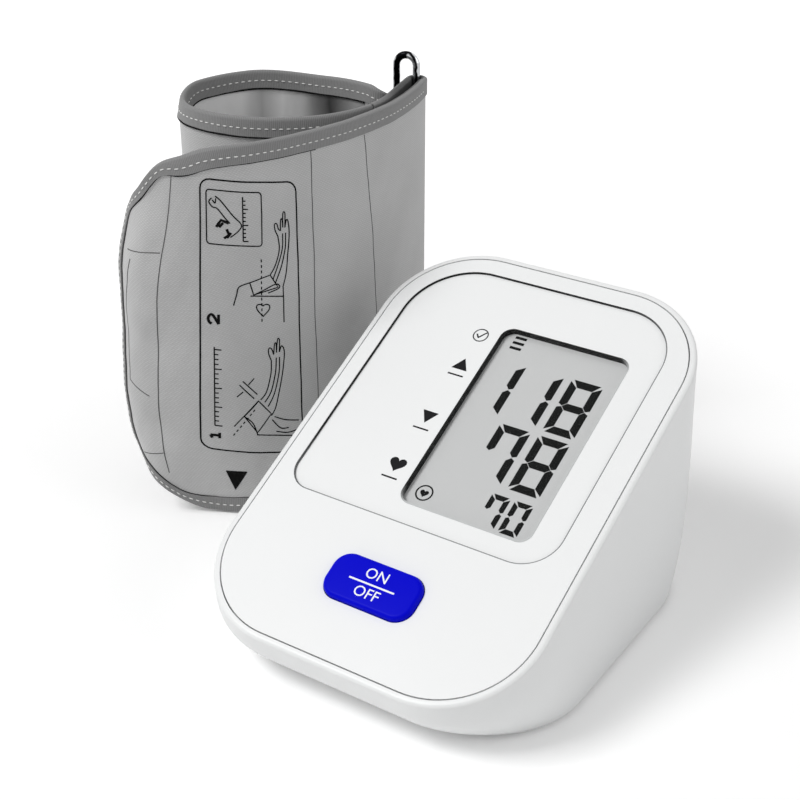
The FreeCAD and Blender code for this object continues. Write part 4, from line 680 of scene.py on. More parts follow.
def foldProfile(half):
    # A tape folded over the edge of cloth that is half thick on each side of its middle:
    # (distance in from the edge, offset), out round the fold and back inside it.
    width, hem, inside = cuff["tapeWidth"], cuff["hem"], half + cuff["tapeGap"]
    outside = inside + cuff["tapeWall"]
    turn = [math.radians(a) for a in range(-90, 91, 18)]
    outer = [(width, -outside), (width * 0.5, -outside)]
    outer += [(outside * 0.55 * (1 - math.cos(a)), outside * math.sin(a)) for a in turn]
    outer += [(width * 0.5, outside), (width, outside)]
    inner = [(width, -inside), (width * 0.5, -inside)]
    inner += [(hem - inside * 0.4 * (math.cos(a) - 0.35), inside * math.sin(a)) for a in turn]
    inner += [(width * 0.5, inside), (width, inside)]
    return np.array(outer + inner[::-1])


def eased(value):
    # 0 below 0, 1 above 1, smooth between.
    share = np.clip(value, 0, 1)
    return share * share * (3 - 2 * share)


sleeveEdge = {"pressed": 0.48, "pressedBelow": 6.9, "rise": 1.9, "riseStart": 34, "riseRun": 26,
              "fallStart": 78, "fallRun": 16, "neckDrop": 6.5}


def hemSqueeze(deep):
    # The binding presses the padded sleeve flat at its hems.
    least = sleeveEdge["pressed"]
    return least + (1 - least) * eased(deep / sleeveEdge["pressedBelow"])


def sleeveTop(along):
    # The sleeve's upper edge: it drops a little on the neck, towards the ring, and stands up at the far turn.
    rise = eased((along - sleeveEdge["riseStart"]) / sleeveEdge["riseRun"])
    fall = eased((along - sleeveEdge["fallStart"]) / sleeveEdge["fallRun"])
    neck = eased((neckLength - 1 - along) / (neckLength - 4))
    return cuff["height"] + sleeveEdge["rise"] * rise * (1 - fall) - sleeveEdge["neckDrop"] * neck


def ripple(along, seed, size):
    # A slow uneven wave, the same each run, for cloth that isn't quite flat.
    waves = [(0.021, 1.0), (0.053, 0.6), (0.117, 0.35), (0.29, 0.16)]
    return size * sum(a * np.sin(2 * np.pi * f * along + seed * (k + 1.7)) for k, (f, a) in enumerate(waves))


# The sleeve: cloth outside, lining inside, blown up between their seams by a short cloth simulation

pad = {
    "step": 2.6, "rows": 46, "frames": 16, "cap": 0.9, "seam": 16.0, "endHeld": 3.5, "hemHeld": 0.5,
    "quickSwell": 0.5, "inset": 0.1, "lap": 0.02, "fill": 0.2,
    "cloth": {"vertex_group_mass": "seams", "quality": 6, "mass": 0.15, "tension_stiffness": 12,
              "compression_stiffness": 12, "bending_stiffness": 0.3, "use_pressure": True,
              "uniform_pressure_force": 3.0},
}
low, high = cuff["hem"], cuff["height"] - cuff["hem"]
thick = cuff["core"] + cuff["cloth"]
columns = np.linspace(neckLength, sleeveEnd, int((sleeveEnd - neckLength) / pad["step"]))
heights = np.linspace(low, high, pad["rows"])


def padGrid(side, offset, swell=0.0):
    # The pad's points on one side of the sleeve's path, as columns of heights.
    flat = offset * hemSqueeze(np.minimum(heights, cuff["height"] - heights))
    return onPath(sleevePath, columns[:, None], heights, side * (flat + swell))


def seamWeights():
    # 1 where stitching holds the cloth down: the hems, both ends and the bladder's pocket.
    edge = np.minimum(heights - low, high - heights)
    held = np.zeros((len(columns), len(heights)))
    held[:, edge < cuff["tapeWidth"] + pad["hemHeld"]] = 1
    ends = np.minimum(columns - columns[0], columns[-1] - columns)
    nearest = np.argmin(np.abs(ends - pad["seam"]))
    for column in (ends < pad["endHeld"], nearest, len(columns) - 1 - nearest):
        held[column, :] = 1
    return held


def inflate(outer, inner, held):
    # Blows the pad's two sides apart between their seams and gives back both grids.
    count, size = outer.shape[:2]
    rest = np.concatenate([outer.reshape(-1, 3), inner.reshape(-1, 3)])
    back = count * size
    faces = []
    for i in range(count - 1):
        for j in range(size - 1):
            a, b, c, d = i * size + j, (i + 1) * size + j, (i + 1) * size + j + 1, i * size + j + 1
            faces += [(a, b, c, d), (back + d, back + c, back + b, back + a)]
    for i in range(count - 1):
        for j in (0, size - 1):
            a, b = i * size + j, (i + 1) * size + j
            faces.append((a, b, back + b, back + a) if j else (b, a, back + a, back + b))
    for j in range(size - 1):
        for i in (0, count - 1):
            a, b = i * size + j, i * size + j + 1
            faces.append((a, b, back + b, back + a) if i == 0 else (b, a, back + a, back + b))
    trial = newObject("padTrial", closedMesh("padTrial", rest, faces))
    group = trial.vertex_groups.new(name="seams")
    group.add([int(i) for i in np.nonzero(np.tile(held.ravel(), 2) > 0.5)[0]], 1.0, "REPLACE")
    cloth = trial.modifiers.new("cloth", "CLOTH").settings
    for setting, value in pad["cloth"].items():
        setattr(cloth, setting, value)
    cloth.effector_weights.gravity = 0
    scene = bpy.context.scene
    for step in range(1, pad["frames"] + 1):
        scene.frame_set(step)
    shaped = trial.evaluated_get(bpy.context.evaluated_depsgraph_get())
    spots = np.zeros(len(shaped.data.vertices) * 3)
    shaped.data.vertices.foreach_get("co", spots)
    moved = spots.reshape(-1, 3) - rest
    length = np.linalg.norm(moved, axis=1, keepdims=True)
    limit = pad["cap"] * mm
    moved *= np.where(length > 1e-9, limit * np.tanh(length / limit) / np.maximum(length, 1e-9), 0)
    scene.frame_set(1)
    bpy.data.objects.remove(trial)
    spots = rest + moved
    return spots[:back].reshape(outer.shape), spots[back:].reshape(inner.shape)


outerGrid, innerGrid = (padGrid(side, thick - pad["inset"]) for side in (-1, 1))
held = seamWeights()
outerGrid, innerGrid = inflate(outerGrid, innerGrid, held)


def padPiece(name, skin, offset, finish, node):
    # One side of the pad: the blown skin, closed against the sleeve's core.
    core = onPath(sleevePath, columns[:, None], heights, offset)
    rings = np.concatenate([skin, core[:, ::-1]], axis=1)
    across = np.concatenate([heights, heights[::-1]])
    piece = addPiece(name, sweptMesh(name, rings, columns[:, None], across), finish, "cuff")
    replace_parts(piece, node)
    smooth = piece.modifiers.new("smooth", "SUBSURF")
    smooth.levels = smooth.render_levels = 1


lap = cuff["core"] + pad["lap"]
padPiece("cuffSleeve", outerGrid, -lap, finishes["cuff_cloth"], "cuff_sleeve")
padPiece("cuffLining", innerGrid, lap, finishes["cuff_lining"], "cuff_lining")


def loopOutline(offset, radius):
    # Down one side of the neck, round the ring's bar and back up the other side: plan points and distances.
    meet = math.asin(min(1.0, offset / radius))
    neck = np.linspace(neckLength, radius * math.cos(meet), 30)
    left, right = onPath(sleevePath, neck, 0, offset), onPath(sleevePath, neck[::-1], 0, -offset)
    ways = math.radians(cuff["neckHeading"]) + np.linspace(meet, 2 * math.pi - meet, 32)[1:-1]
    bar = np.array([*cuff["ringBar"], 0.0]) * mm
    circle = bar + radius * mm * np.stack([np.cos(ways), np.sin(ways), 0 * ways], -1)
    return np.concatenate([left, circle, right]), np.concatenate([neck, 0 * ways, neck[::-1]])


loop = {"outside": 2.3, "outerHalf": 1.0, "inside": 1.3, "innerHalf": 0.3, "pressed": 1.0, "rings": 18}


def loopCloth():
    # The cloth neck and the tube at its end that holds the ring's inner bar.
    inner = loopOutline(loop["innerHalf"], loop["inside"])[0]
    top = sleeveTop(loopOutline(loop["outerHalf"], loop["outside"])[1]) - cuff["hem"]
    first, rings = low + cuff["reliefHeight"], []
    for share in eased(np.linspace(0, 1, loop["rings"])):
        up = first + share * (top - first)
        flat = hemSqueeze((1 - share) * (cuff["height"] - first) + cuff["hem"])
        outer = loopOutline(thick * flat, loop["outside"] - loop["pressed"] * (1 - flat))[0]
        ring = np.concatenate([outer, inner[::-1]])
        ring[:, 2] = np.concatenate([up, up[::-1]]) * mm
        rings.append(ring)
    rings = np.array(rings)
    mesh = sweptMesh("ringLoop", rings, distances(rings[0]) / mm, rings[:, :, 2] / mm)
    addPiece("ringLoop", mesh, finishes["cuff_cloth"], "cuff")


loopCloth()
print("sleeve: cloth and lining")


# The painted shade between the strap and the flap: how dark it gets, how far from the turn it reaches and
# over how much it fades.
hollowShade = {"depth": 0.93, "reach": 44, "fade": 24}


def ribbonHollowShade(along, side):
    # How much painted shade falls between the strap and the flap, on the side where they face each other.
    return hollowShade["depth"] * side * eased((hollowShade["reach"] - np.abs(along - turned)) / hollowShade["fade"])


# Stores the painted shade on the mesh's points, for the cloth and tape finishes to darken by.
def markHollowShade(mesh, values):
    layer = mesh.attributes.new("hollowShade", "FLOAT", "POINT")
    layer.data.foreach_set("value", np.asarray(values, np.float32).ravel())


binding = {"lift": 0.07, "uneven": 0.02, "boundRun": 3, "thinned": 0.5, "shaded": 0.75, "step": 1.2,
           "strapStep": 0.4, "clear": 0.01}


def hemTape(name, path, start, end, half, node=None, padded=True):
    # Both hems of a ribbon, bound in tape; the lower one stops short of the ring.
    profile = foldProfile(half)
    deepness, offset = profile.T
    squeeze = hemSqueeze(deepness) if padded else 1.0
    step = binding["step"] if padded else binding["strapStep"]
    meshes, dark = [], []
    for top in (False, True):
        along = np.linspace(start, end, int((end - start) / step))
        if not top:
            along = along[overRing(path, along) < binding["clear"]]
        rings = []
        for u in along:
            lift = ripple(u, 2.0 + top, binding["lift"]) * deepness / cuff["tapeWidth"]
            deep = deepness * (1 + ripple(u, 5.0 + top, binding["uneven"]))
            edge = sleeveTop(u) if padded else cuff["height"]
            # Round the bar it lies on the outside only.
            bound = 0.0 if padded else eased((u - risen + binding["boundRun"]) / binding["boundRun"])
            out = offset * squeeze * np.where(offset < 0, 1 - binding["thinned"] * bound, 1)
            rings.append(onPath(path, u, edge - deep if top else deep, out + lift * (1 - bound)))
            # The sleeve's tape gets no painted shade. The rising strap's tape gets it near the turn: full on
            # its inner side, three quarters on its outer side, and none there once it is bound round the bar.
            shaded = np.where(offset < 0.3, 1.0, binding["shaded"] * (1 - bound))
            dark.append(0 * offset if padded else ribbonHollowShade(u, shaded))
        meshes.append(sweptMesh(name, np.array(rings), along[:, None], distances(profile)))
    mesh = joinMeshes(name, meshes)
    markHollowShade(mesh, np.array(dark))
    mesh.shade_smooth()
    piece = addPiece(name, mesh, finishes["binding_tape"], "cuff")
    if node:
        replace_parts(piece, node)


hemTape("sleeveTape", sleevePath, 4.0, sleeveEnd, thick, "sleeve_tape")
hemTape("riseTape", strapPath, 0.4, turned + 2.0, cuff["strapHalf"], padded=False)

cord = {"radius": 0.28, "sides": 6, "beyondTape": 0.3, "rings": 150}


def sleeveCords():
    # A dark cord along the tape's inner edge, on both sides of the sleeve's hems, as painted shade for the
    # gap there.
    turn = np.radians(np.arange(0, 360, 360 // cord["sides"]))
    along = np.linspace(neckLength, sleeveEnd - 1, cord["rings"])[:, None]
    deep, radius = cuff["tapeWidth"] + cord["beyondTape"], cord["radius"]
    meshes = []
    for side in (-1, 1):
        out = side * (thick * hemSqueeze(deep) + radius)
        for edge in (deep, sleeveTop(along) - deep):
            rings = onPath(sleevePath, along, edge + radius * np.sin(turn), out + radius * np.cos(turn))
            meshes.append(sweptMesh("sleeveCords", rings, 0, 0))
    mesh = joinMeshes("sleeveCords", meshes)
    mesh.shade_smooth()
    addPiece("sleeveCords", mesh, gapShadeFinish, "cuff")


sleeveCords()
print("sleeve: binding tape")


# The flap: one sheet from the sleeve's end, round the ring's outer bar and back to its rounded tip

tipPath = strapPath[strapPath[:, 0] >= hinge]
tipWay = math.radians(cuff["tipHeading"])
tipAlongs = tipPath[:, 0]
tipX, tipY = (tipPath[:, column] - tipPath[0, column] for column in (1, 2))
tipRuns = tipX * math.cos(tipWay) + tipY * math.sin(tipWay)


def tipRun(along):
    # Distance in plan from the hinge towards the tip, square to the outline, at a distance along the cloth.
    return float(np.interp(along, tipAlongs, tipRuns))


def tipAlong(run):
    return float(np.interp(run, tipRuns, tipAlongs))


corner = cuff["tipCorner"]
tipLength = tipRun(flapEnd)
cornerRun = tipLength - corner
cornerAlong = tipAlong(cornerRun)

# Pairs are (distance after the hinge, droop) and (height, lean), all in millimetres. A Start and a Run say
# where something sets in, after the hinge or the ring, and how far on it is full.
flapShape = {
    "rows": 76, "start": 5.0, "topStart": 2.0, "smoothing": 3,
    "droop": [(6, 0.0), (8.4, 0.1), (11.4, 0.4), (14.4, 0.85), (17.4, 1.5), (20.4, 2.3), (23.4, 1.9),
              (26.4, 0.7), (29.4, 0.0)],
    "thinned": 0.4, "thinStart": 18, "thinRun": 13,
    "sag": 0.14, "gripStart": 4, "gripRun": 25, "flare": 2.6, "flareHeight": 30.0, "flareStart": -5,
    "curl": 3.0, "curlStart": 2, "bowRun": 22, "pucker": 0.32, "puckerStart": 96.0, "puckerRun": 7,
    "puckerEnd": 11, "puckerFade": 6,
    "lean": [(0, 0.0), (12, 0.2), (24, 2.8), (40, 3.9), (58, 3.0), (84, 2.0), (98, -1.4), (112, -2.2)],
    "leanStart": 12, "leanRun": 26,
}


def droop(along):
    # The upper edge hangs a little where the cloth turns to the tip.
    past, drops = zip(*flapShape["droop"])
    return float(np.interp(along - hinge, past, drops))


def narrowing(along):
    # The binding is drawn thin round the tip.
    return 1 - flapShape["thinned"] * eased((along - hinge - flapShape["thinStart"]) / flapShape["thinRun"])


def flapEdge(steps=400):
    # (along, up) from the flap's start at the bottom, round the tip and back along the top, evenly spaced.
    start, topStart = turned + flapShape["start"], turned + flapShape["topStart"]
    bottom = [(u, 0.0) for u in np.linspace(start, cornerAlong, 60, endpoint=False)]
    bottom += [(tipAlong(cornerRun + corner * math.sin(a)), corner * (1 - math.cos(a)))
               for a in np.radians(np.linspace(0, 90, 120))]
    top = [(u, cuff["height"] - up - droop(u)) for u, up in bottom[::-1]]
    top += [(u, cuff["height"]) for u in np.linspace(start, topStart, 4)[1:]]
    spots = np.array(bottom + top)
    far = distances(spots)
    even = np.linspace(0, far[-1], steps)
    spots = np.stack([np.interp(even, far, spots[:, column]) for column in (0, 1)], -1)
    reach = flapShape["smoothing"]  # each point is the mean of this many on each side and itself
    near = [np.roll(spots, k, axis=0) for k in range(-reach, reach + 1)]
    spots[reach:-reach] = sum(near)[reach:-reach] / len(near)
    return spots


def flapOutline(inset):
    # The same edge moved in over the cloth, square to itself.
    spots = flapEdge()
    return spots + leftOf(spots) * (inset * narrowing(spots[:, 0]))[:, None]


def flapBow(along, up):
    # Slight waves of the cloth, but none at the ring, a flare low down, the tip's corners turned in and
    # puckers beside its tape.
    grip = np.clip((along - turned - flapShape["gripStart"]) / flapShape["gripRun"], 0, 1)
    waves = ripple(along * 0.8 + up * 0.3, 1.3, flapShape["sag"]) + ripple(up * 0.6, 4.1, flapShape["sag"])
    flare = flapShape["flare"] * np.clip(1 - up / flapShape["flareHeight"], 0, 1) ** 2
    flare = flare * (1 - eased((along - hinge - flapShape["flareStart"]) / flapShape["bowRun"]))
    corners = np.clip(1 - np.minimum(up, cuff["height"] - up) / flapShape["flareHeight"], 0, 1) ** 1.5
    curled = eased((along - hinge - flapShape["curlStart"]) / flapShape["bowRun"])
    flare = flare - flapShape["curl"] * corners * curled
    tip = eased((along - printZero - flapShape["puckerStart"]) / flapShape["puckerRun"])
    tip = tip * (1 - eased((along - flapEnd + flapShape["puckerEnd"]) / flapShape["puckerFade"]))
    paintedBands = np.sin(up / 4.2 + along * 0.15) + 0.7 * np.sin(up / 2.3 - along * 0.22) + 0.4 * np.sin(up / 9.0)
    return grip * (waves + flare) + tip * flapShape["pucker"] * paintedBands


def onFlap(along, up, out):
    # A spot on the flap; towards its tip it also leans out, most of all low down.
    spots = onPath(strapPath, along, up, out + flapBow(along, up))
    ups, leans = zip(*flapShape["lean"])
    lean = sum(np.interp(up + shift, ups, leans) for shift in (-6, -3, 0, 3, 6)) / 5
    lean = lean * eased((along - hinge - flapShape["leanStart"]) / flapShape["leanRun"])
    return spots + np.stack([lean * math.cos(tipWay), lean * math.sin(tipWay), 0 * lean], -1) * mm


def flapCloth():
    # Rings of cloth across the flap: up its outer face and down its inner one.
    radius = corner - cuff["hem"]
    stretches = ((0, risen, 40), (risen, turned, 40), (turned, cornerAlong, 80))
    level = [u for start, end, count in stretches for u in np.linspace(start, end, count, endpoint=False)]
    tip = [tipAlong(cornerRun + radius * math.sin(a)) for a in np.radians(np.linspace(0, 90, 70))]
    stations = np.array(level + tip)
    rings, across, dark = [], [], []
    for u, clear in zip(stations, overRing(strapPath, stations)):
        run = max(0.0, tipRun(u) - cornerRun) if u > hinge else 0.0
        lift = radius - math.sqrt(max(0.0, radius ** 2 - min(run, radius) ** 2))
        up = np.linspace(low + max(lift, clear), high - lift - droop(u), flapShape["rows"])
        edge = np.minimum(up - up[0], up[-1] - up)
        full = cuff["strapHalf"] * np.sqrt(np.clip(edge / 0.5, 0.16, 1))
        rings.append(np.concatenate([onFlap(u, up, full), onFlap(u, up, -full)[::-1]]))
        across.append(np.concatenate([up, up[::-1]]))
        # Painted shade near the turn, on the cloth's inner face only.
        dark.append(ribbonHollowShade(u, np.repeat([0.0, 1.0], len(up))))
    mesh = sweptMesh("flapCloth", np.array(rings), stations[:, None], np.array(across))
    markHollowShade(mesh, dark)
    piece = addPiece("flapCloth", mesh, finishes["cuff_cloth"], None)
    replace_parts(piece, "cuff_strap", "flap_tip")
    return piece


def flapTape():
    # The binding all round the flap; beyond the hinge its lowest stretch keeps clear of the table.
    edge = flapEdge(260)
    edge[:, 1] += 0.3 * np.clip(1 - edge[:, 1], 0, 1) * np.clip((edge[:, 0] - hinge) / 8, 0, 1)
    inward = leftOf(edge) * narrowing(edge[:, 0])[:, None]
    profile = foldProfile(cuff["strapHalf"])
    deep, offset = profile.T
    rings = np.array([onFlap(u + side * deep, up + rise * deep, offset)
                      for (u, up), (side, rise) in zip(edge, inward)])
    mesh = sweptMesh("flapTape", rings, distances(edge)[:, None], distances(profile))
    # Painted shade near the turn, on the tape's inner side only.
    markHollowShade(mesh, [ribbonHollowShade(u, np.where(offset < 0, 1.0, 0.0)) for u in edge[:, 0]])
    piece = addPiece("flapTape", mesh, finishes["binding_tape"], None)
    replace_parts(piece, "strap_tape", "tip_tape")
    return piece


bendPieces = [flapCloth(), flapTape()]
print("flap: cloth and tape")


# Print on the flap, and its seams: thin closed strips that follow the cloth

strips = {"step": 1.0, "sunk": 0.05}


def stripMesh(name, lines, width, proud):
    # Lines are lists of (along, up) points; each becomes a strip of that width standing proud of the cloth.
    meshes, half = [], cuff["strapHalf"]
    for line in lines:
        spots = [np.array(line[0], float)]
        for spot in line[1:]:
            count = max(1, int(np.linalg.norm(np.array(spot) - spots[-1]) / strips["step"]))
            first = spots[-1]
            spots += [first + (np.array(spot, float) - first) * k / count for k in range(1, count + 1)]
        spots = np.array(spots)
        side = leftOf(spots) * width / 2
        left, right = spots + side, spots - side
        rings = np.stack([onFlap(*edge.T, half + rise) for edge, rise in (
            (left, proud), (right, proud), (right, -strips["sunk"]), (left, -strips["sunk"]))], 1)
        meshes.append(sweptMesh(name, rings, 0, 0))
    return joinMeshes(name, meshes)


# The printed frame's corners on the cloth, anticlockwise from its lower left: (along after the ring, up)
printFrame = {"corners": [(90.8, 24.8), (58.8, 17.2), (58.0, 106.2), (86.4, 111.4)],
              "width": 30.0, "height": 86.0, "radius": 3.0}


def onFrame(x, y):
    # (x, y) from the frame's lower left corner, in its own upright millimetres, to (along, up) on the cloth.
    a, b = x / printFrame["width"], y / printFrame["height"]
    shares = ((1 - a) * (1 - b), a * (1 - b), a * b, (1 - a) * b)
    along, up = sum(np.array(corner) * share for corner, share in zip(printFrame["corners"], shares))
    return along + printZero, up


def roundedBox(x0, y0, x1, y1, radius):
    spots = []
    for cx, cy, start in ((x1 - radius, y1 - radius, 0), (x0 + radius, y1 - radius, 90),
                          (x0 + radius, y0 + radius, 180), (x1 - radius, y0 + radius, 270)):
        turn = [math.radians(start + a) for a in (0, 22, 45, 68, 90)]
        spots += [(cx + radius * math.cos(a), cy + radius * math.sin(a)) for a in turn]
    return spots + spots[:1]


def framed(lines):
    return [[onFrame(x, y) for x, y in line] for line in lines]


def dashed(a, b, dash, gap):
    a, b = np.array(a, float), np.array(b, float)
    length = np.linalg.norm(b - a)
    way = (b - a) / length
    starts = np.arange(0, length - dash, dash + gap)
    return [[tuple(a + way * s), tuple(a + way * (s + dash))] for s in starts]


def rounded(line, count=5):
    # A smooth line through the points.
    ends = [line[0]] + list(line) + [line[-1]]
    spots = []
    for a, b, c, d in zip(ends, ends[1:], ends[2:], ends[3:]):
        a, b, c, d = (np.array(p, float) for p in (a, b, c, d))
        for k in range(count):
            t = k / count
            spots.append(tuple(0.5 * (2 * b + (c - a) * t + (2 * a - 5 * b + 4 * c - d) * t * t
                                      + (3 * b - a - 3 * c + d) * t ** 3)))
    return spots + [tuple(line[-1])]


# Two drawings of a bent arm with its cuff, in the frame's millimetres
armAbove = [rounded(line) for line in (
    [(9.3, 46.4), (10.2, 49.6), (11.0, 52.3), (14.2, 53.7)],
    [(20.7, 56.0), (22.5, 59.2), (23.9, 63.8), (23.6, 67.8)],
    [(23.6, 67.8), (22.7, 69.6), (22.5, 71.4), (23.3, 71.5), (23.8, 70.0), (24.5, 69.4)],
    [(24.5, 69.4), (24.6, 72.6), (25.1, 72.8), (25.3, 70.4)],
    [(25.3, 70.4), (25.4, 74.6), (26.1, 74.6), (26.0, 70.4)],
    [(26.0, 70.4), (26.5, 72.6), (27.1, 72.2), (27.4, 68.2), (26.5, 61.4), (25.9, 56.2), (24.8, 52.2)],
    [(21.6, 54.6), (23.2, 58.8), (24.9, 64.0), (25.2, 68.6)],
    [(22.4, 53.6), (24.3, 58.4), (25.9, 64.4), (26.2, 68.8)],
    [(15.4, 49.8), (18.4, 51.2), (22.6, 53.2), (23.6, 52.0), (20.0, 50.4)])]
armAbove += [
    [(14.2, 53.7), (20.7, 56.0), (23.2, 52.2), (15.4, 49.8), (14.2, 53.7)],
    [(14.4, 49.5), (24.9, 49.3)],
    [(24.9, 52.2), (25.0, 41.0)]]
armBelow = [rounded(line) for line in (
    [(9.1, 7.3), (12.2, 11.2), (16.4, 16.4)],
    [(15.8, 5.0), (14.6, 8.6), (12.2, 10.8)],
    [(17.0, 16.6), (18.9, 19.6), (20.4, 25.6), (20.6, 29.6)],
    [(20.6, 29.6), (19.8, 32.0), (20.0, 33.6), (20.8, 33.4), (21.4, 31.6)],
    [(21.4, 31.6), (21.8, 35.0), (22.3, 35.0), (22.3, 32.2)],
    [(22.3, 32.2), (22.8, 36.4), (23.4, 36.2), (23.2, 32.4)],
    [(23.2, 32.4), (24.0, 34.4), (24.8, 32.4), (24.2, 26.4), (22.9, 19.8), (21.6, 14.0), (20.2, 11.2)],
    [(18.2, 15.8), (20.2, 19.4), (21.8, 25.8), (22.2, 30.6)],
    [(19.2, 14.4), (21.2, 18.6), (22.9, 25.6), (23.2, 30.8)],
    [(21.2, 10.9), (24.6, 9.7), (29.0, 9.3)],
    [(20.4, 9.9), (23.0, 7.0), (25.6, 7.0)],
    [(21.6, 5.9), (25.2, 5.4), (29.0, 6.4)])]
armBelow += [
    [(12.1, 10.9), (16.4, 16.2), (20.2, 11.9), (15.8, 5.6), (12.1, 10.9)],
    [(15.6, 4.9), (26.6, 4.3)],
    [(11.8, 22.7), (16.0, 18.5)],
    [(10.8, 21.4), (15.0, 17.1)],
    [(15.2, 23.8), (13.4, 21.6)],
    [(10.0, 17.4), (11.8, 19.2)]]
armSmall = [rounded(line) for line in (
    [(3.4, 80.6), (2.6, 79.4), (3.6, 78.0), (5.0, 77.6), (7.4, 74.8), (8.6, 73.6)],
    [(4.4, 81.2), (6.0, 80.0), (9.4, 76.0), (11.9, 73.4), (11.0, 71.4), (8.6, 69.4)],
    [(3.6, 80.0), (4.4, 79.2), (4.6, 80.6)])]
heart = [(math.sin(a) ** 3 * 2.1, 1.9 * math.cos(a) - 0.7 * math.cos(2 * a) - 0.25 * math.cos(3 * a))
         for a in np.linspace(0, 2 * math.pi, 33)]


def shifted(lines, dx, dy):
    return [[(x + dx, y + dy) for x, y in line] for line in lines]


def ruler(x, y0, y1, step, tick):
    # A plain scale: a line with a mark at each step, each fourth one longer.
    marks = [[(x, y), (x + tick * (0.55 if i % 4 else 1), y)] for i, y in enumerate(np.arange(y0, y1, step))]
    return [[(x, y0), (x, y1)]] + marks


def quarterTurned(lines, dx, dy, tall=0.66):
    return [[(dx - y * tall, dy + x) for x, y in line] for line in lines]


heavyLines = framed(
    quarterTurned([[(0, 0), (0, 3.6)], [(0, 3.6), (-1.0, 2.9)], [(-0.9, 0), (0.9, 0)]], 4.8, 4.9)
    + quarterTurned([rounded([(-1.5, 2.9), (-1.0, 3.9), (0.3, 4.3), (1.4, 3.4), (1.1, 2.2), (-1.5, 0)]),
                     [(-1.5, 0), (1.6, 0)]], 4.9, 43.6)
    + [[(4.6, 72.2), (6.0, 74.4), (8.2, 73.6)], [(5.4, 72.2), (6.6, 73.6)],
       [(6.8, 69.0), (8.2, 70.2), (7.6, 71.8)], [(7.6, 69.2), (8.8, 70.8)]])
frameLines = framed([roundedBox(0, 0, printFrame["width"], printFrame["height"], printFrame["radius"])])
printLines = framed([
    roundedBox(1.8, 67.0, 18.2, 83.0, 1.0), *shifted(armAbove, -0.1, 2.1), *shifted(armBelow, -0.2, 1.2),
    *armSmall, *shifted([heart], 18.2, 47.4),
    *ruler(3.6, 8.2, 34.6, 1.6, 2.0), *ruler(12.4, 68.4, 81.6, 1.2, 1.6),
    *dashed((17.8, 43.4), (17.8, 64.4), 0.9, 0.8), *dashed((8.6, 5.4), (15.4, 15.0), 0.9, 0.8),
])


def filled(left, right, apex, step=0.42):
    # Lines side by side that fill a triangle on the cloth, from its upper side down to its apex.
    left, right, apex = (np.array(p, float) for p in (left, right, apex))
    count = int(np.linalg.norm(apex - (left + right) / 2) / step)
    return [[tuple(side + (apex - side) * k / count) for side in (left, right)] for k in range(count)]


arrowLines = filled((printZero + 84.3, 15.6), (printZero + 78.0, 14.7), (printZero + 81.8, 8.6))

# Seams down the flap, as (along after the ring, up): each a fine dark line
seams = {
    "first": [(95.1, 114.2), (98.1, 87), (99.3, 74), (101.2, 15.0)],
    "second": [(52.5, 114.2), (52.7, 68), (52.5, 37), (52.4, 6)],
    "third": [(31.5, 114.2), (26.3, 60), (22.5, 6)],
    "pocketTop": [(109.0, 88.4), (98.4, 89)],
    "pocketSide": [(107.0, 86), (108.8, 74), (109.0, 46), (102.6, 42.2)],
    "pocketEnd": [(108.6, 20.5), (101.2, 22.5)],
}
seamLines = [[(printZero + u, up) for u, up in line] for line in seams.values()]

# A dark cord along the inner edge of the flap's tape, past the place where the sleeve covers it, is painted
# shade for the gap there
inner = flapOutline(cuff["tapeWidth"] + 0.15)
cordLines = [[tuple(spot) for spot in inner[inner[:, 0] > printZero + 50]]]

# Each piece's name, lines, width, rise over the cloth, finish and slot
for name, lines, width, proud, finish, slot in (
        ("printedLines", printLines, 0.36, 0.06, inkFinish, "cuff_cloth"),
        ("printedFrame", frameLines, 0.46, 0.06, inkFinish, "cuff_cloth"),
        ("printedFigures", heavyLines, 0.8, 0.065, inkFinish, "cuff_cloth"),
        ("printedArrow", arrowLines, 0.5, 0.07, inkFinish, "cuff_cloth"),
        ("flapSeams", seamLines, 0.26, 0.06, seamThread, "cuff_cloth"),
        ("tapeCord", cordLines, 0.4, 0.16, gapShadeFinish, "binding_tape")):
    bendPieces.append(addPiece(name, stripMesh(name, lines, width, proud), finish, None))
print("flap: print and seams")


# Stitches, laid by Geometry Nodes along a line of points that carry the cloth's outward direction

stitches = {"Pitch": 2.15, "Stitch Length": 1.35, "Thread": 0.34}
rowDepth = 3.1


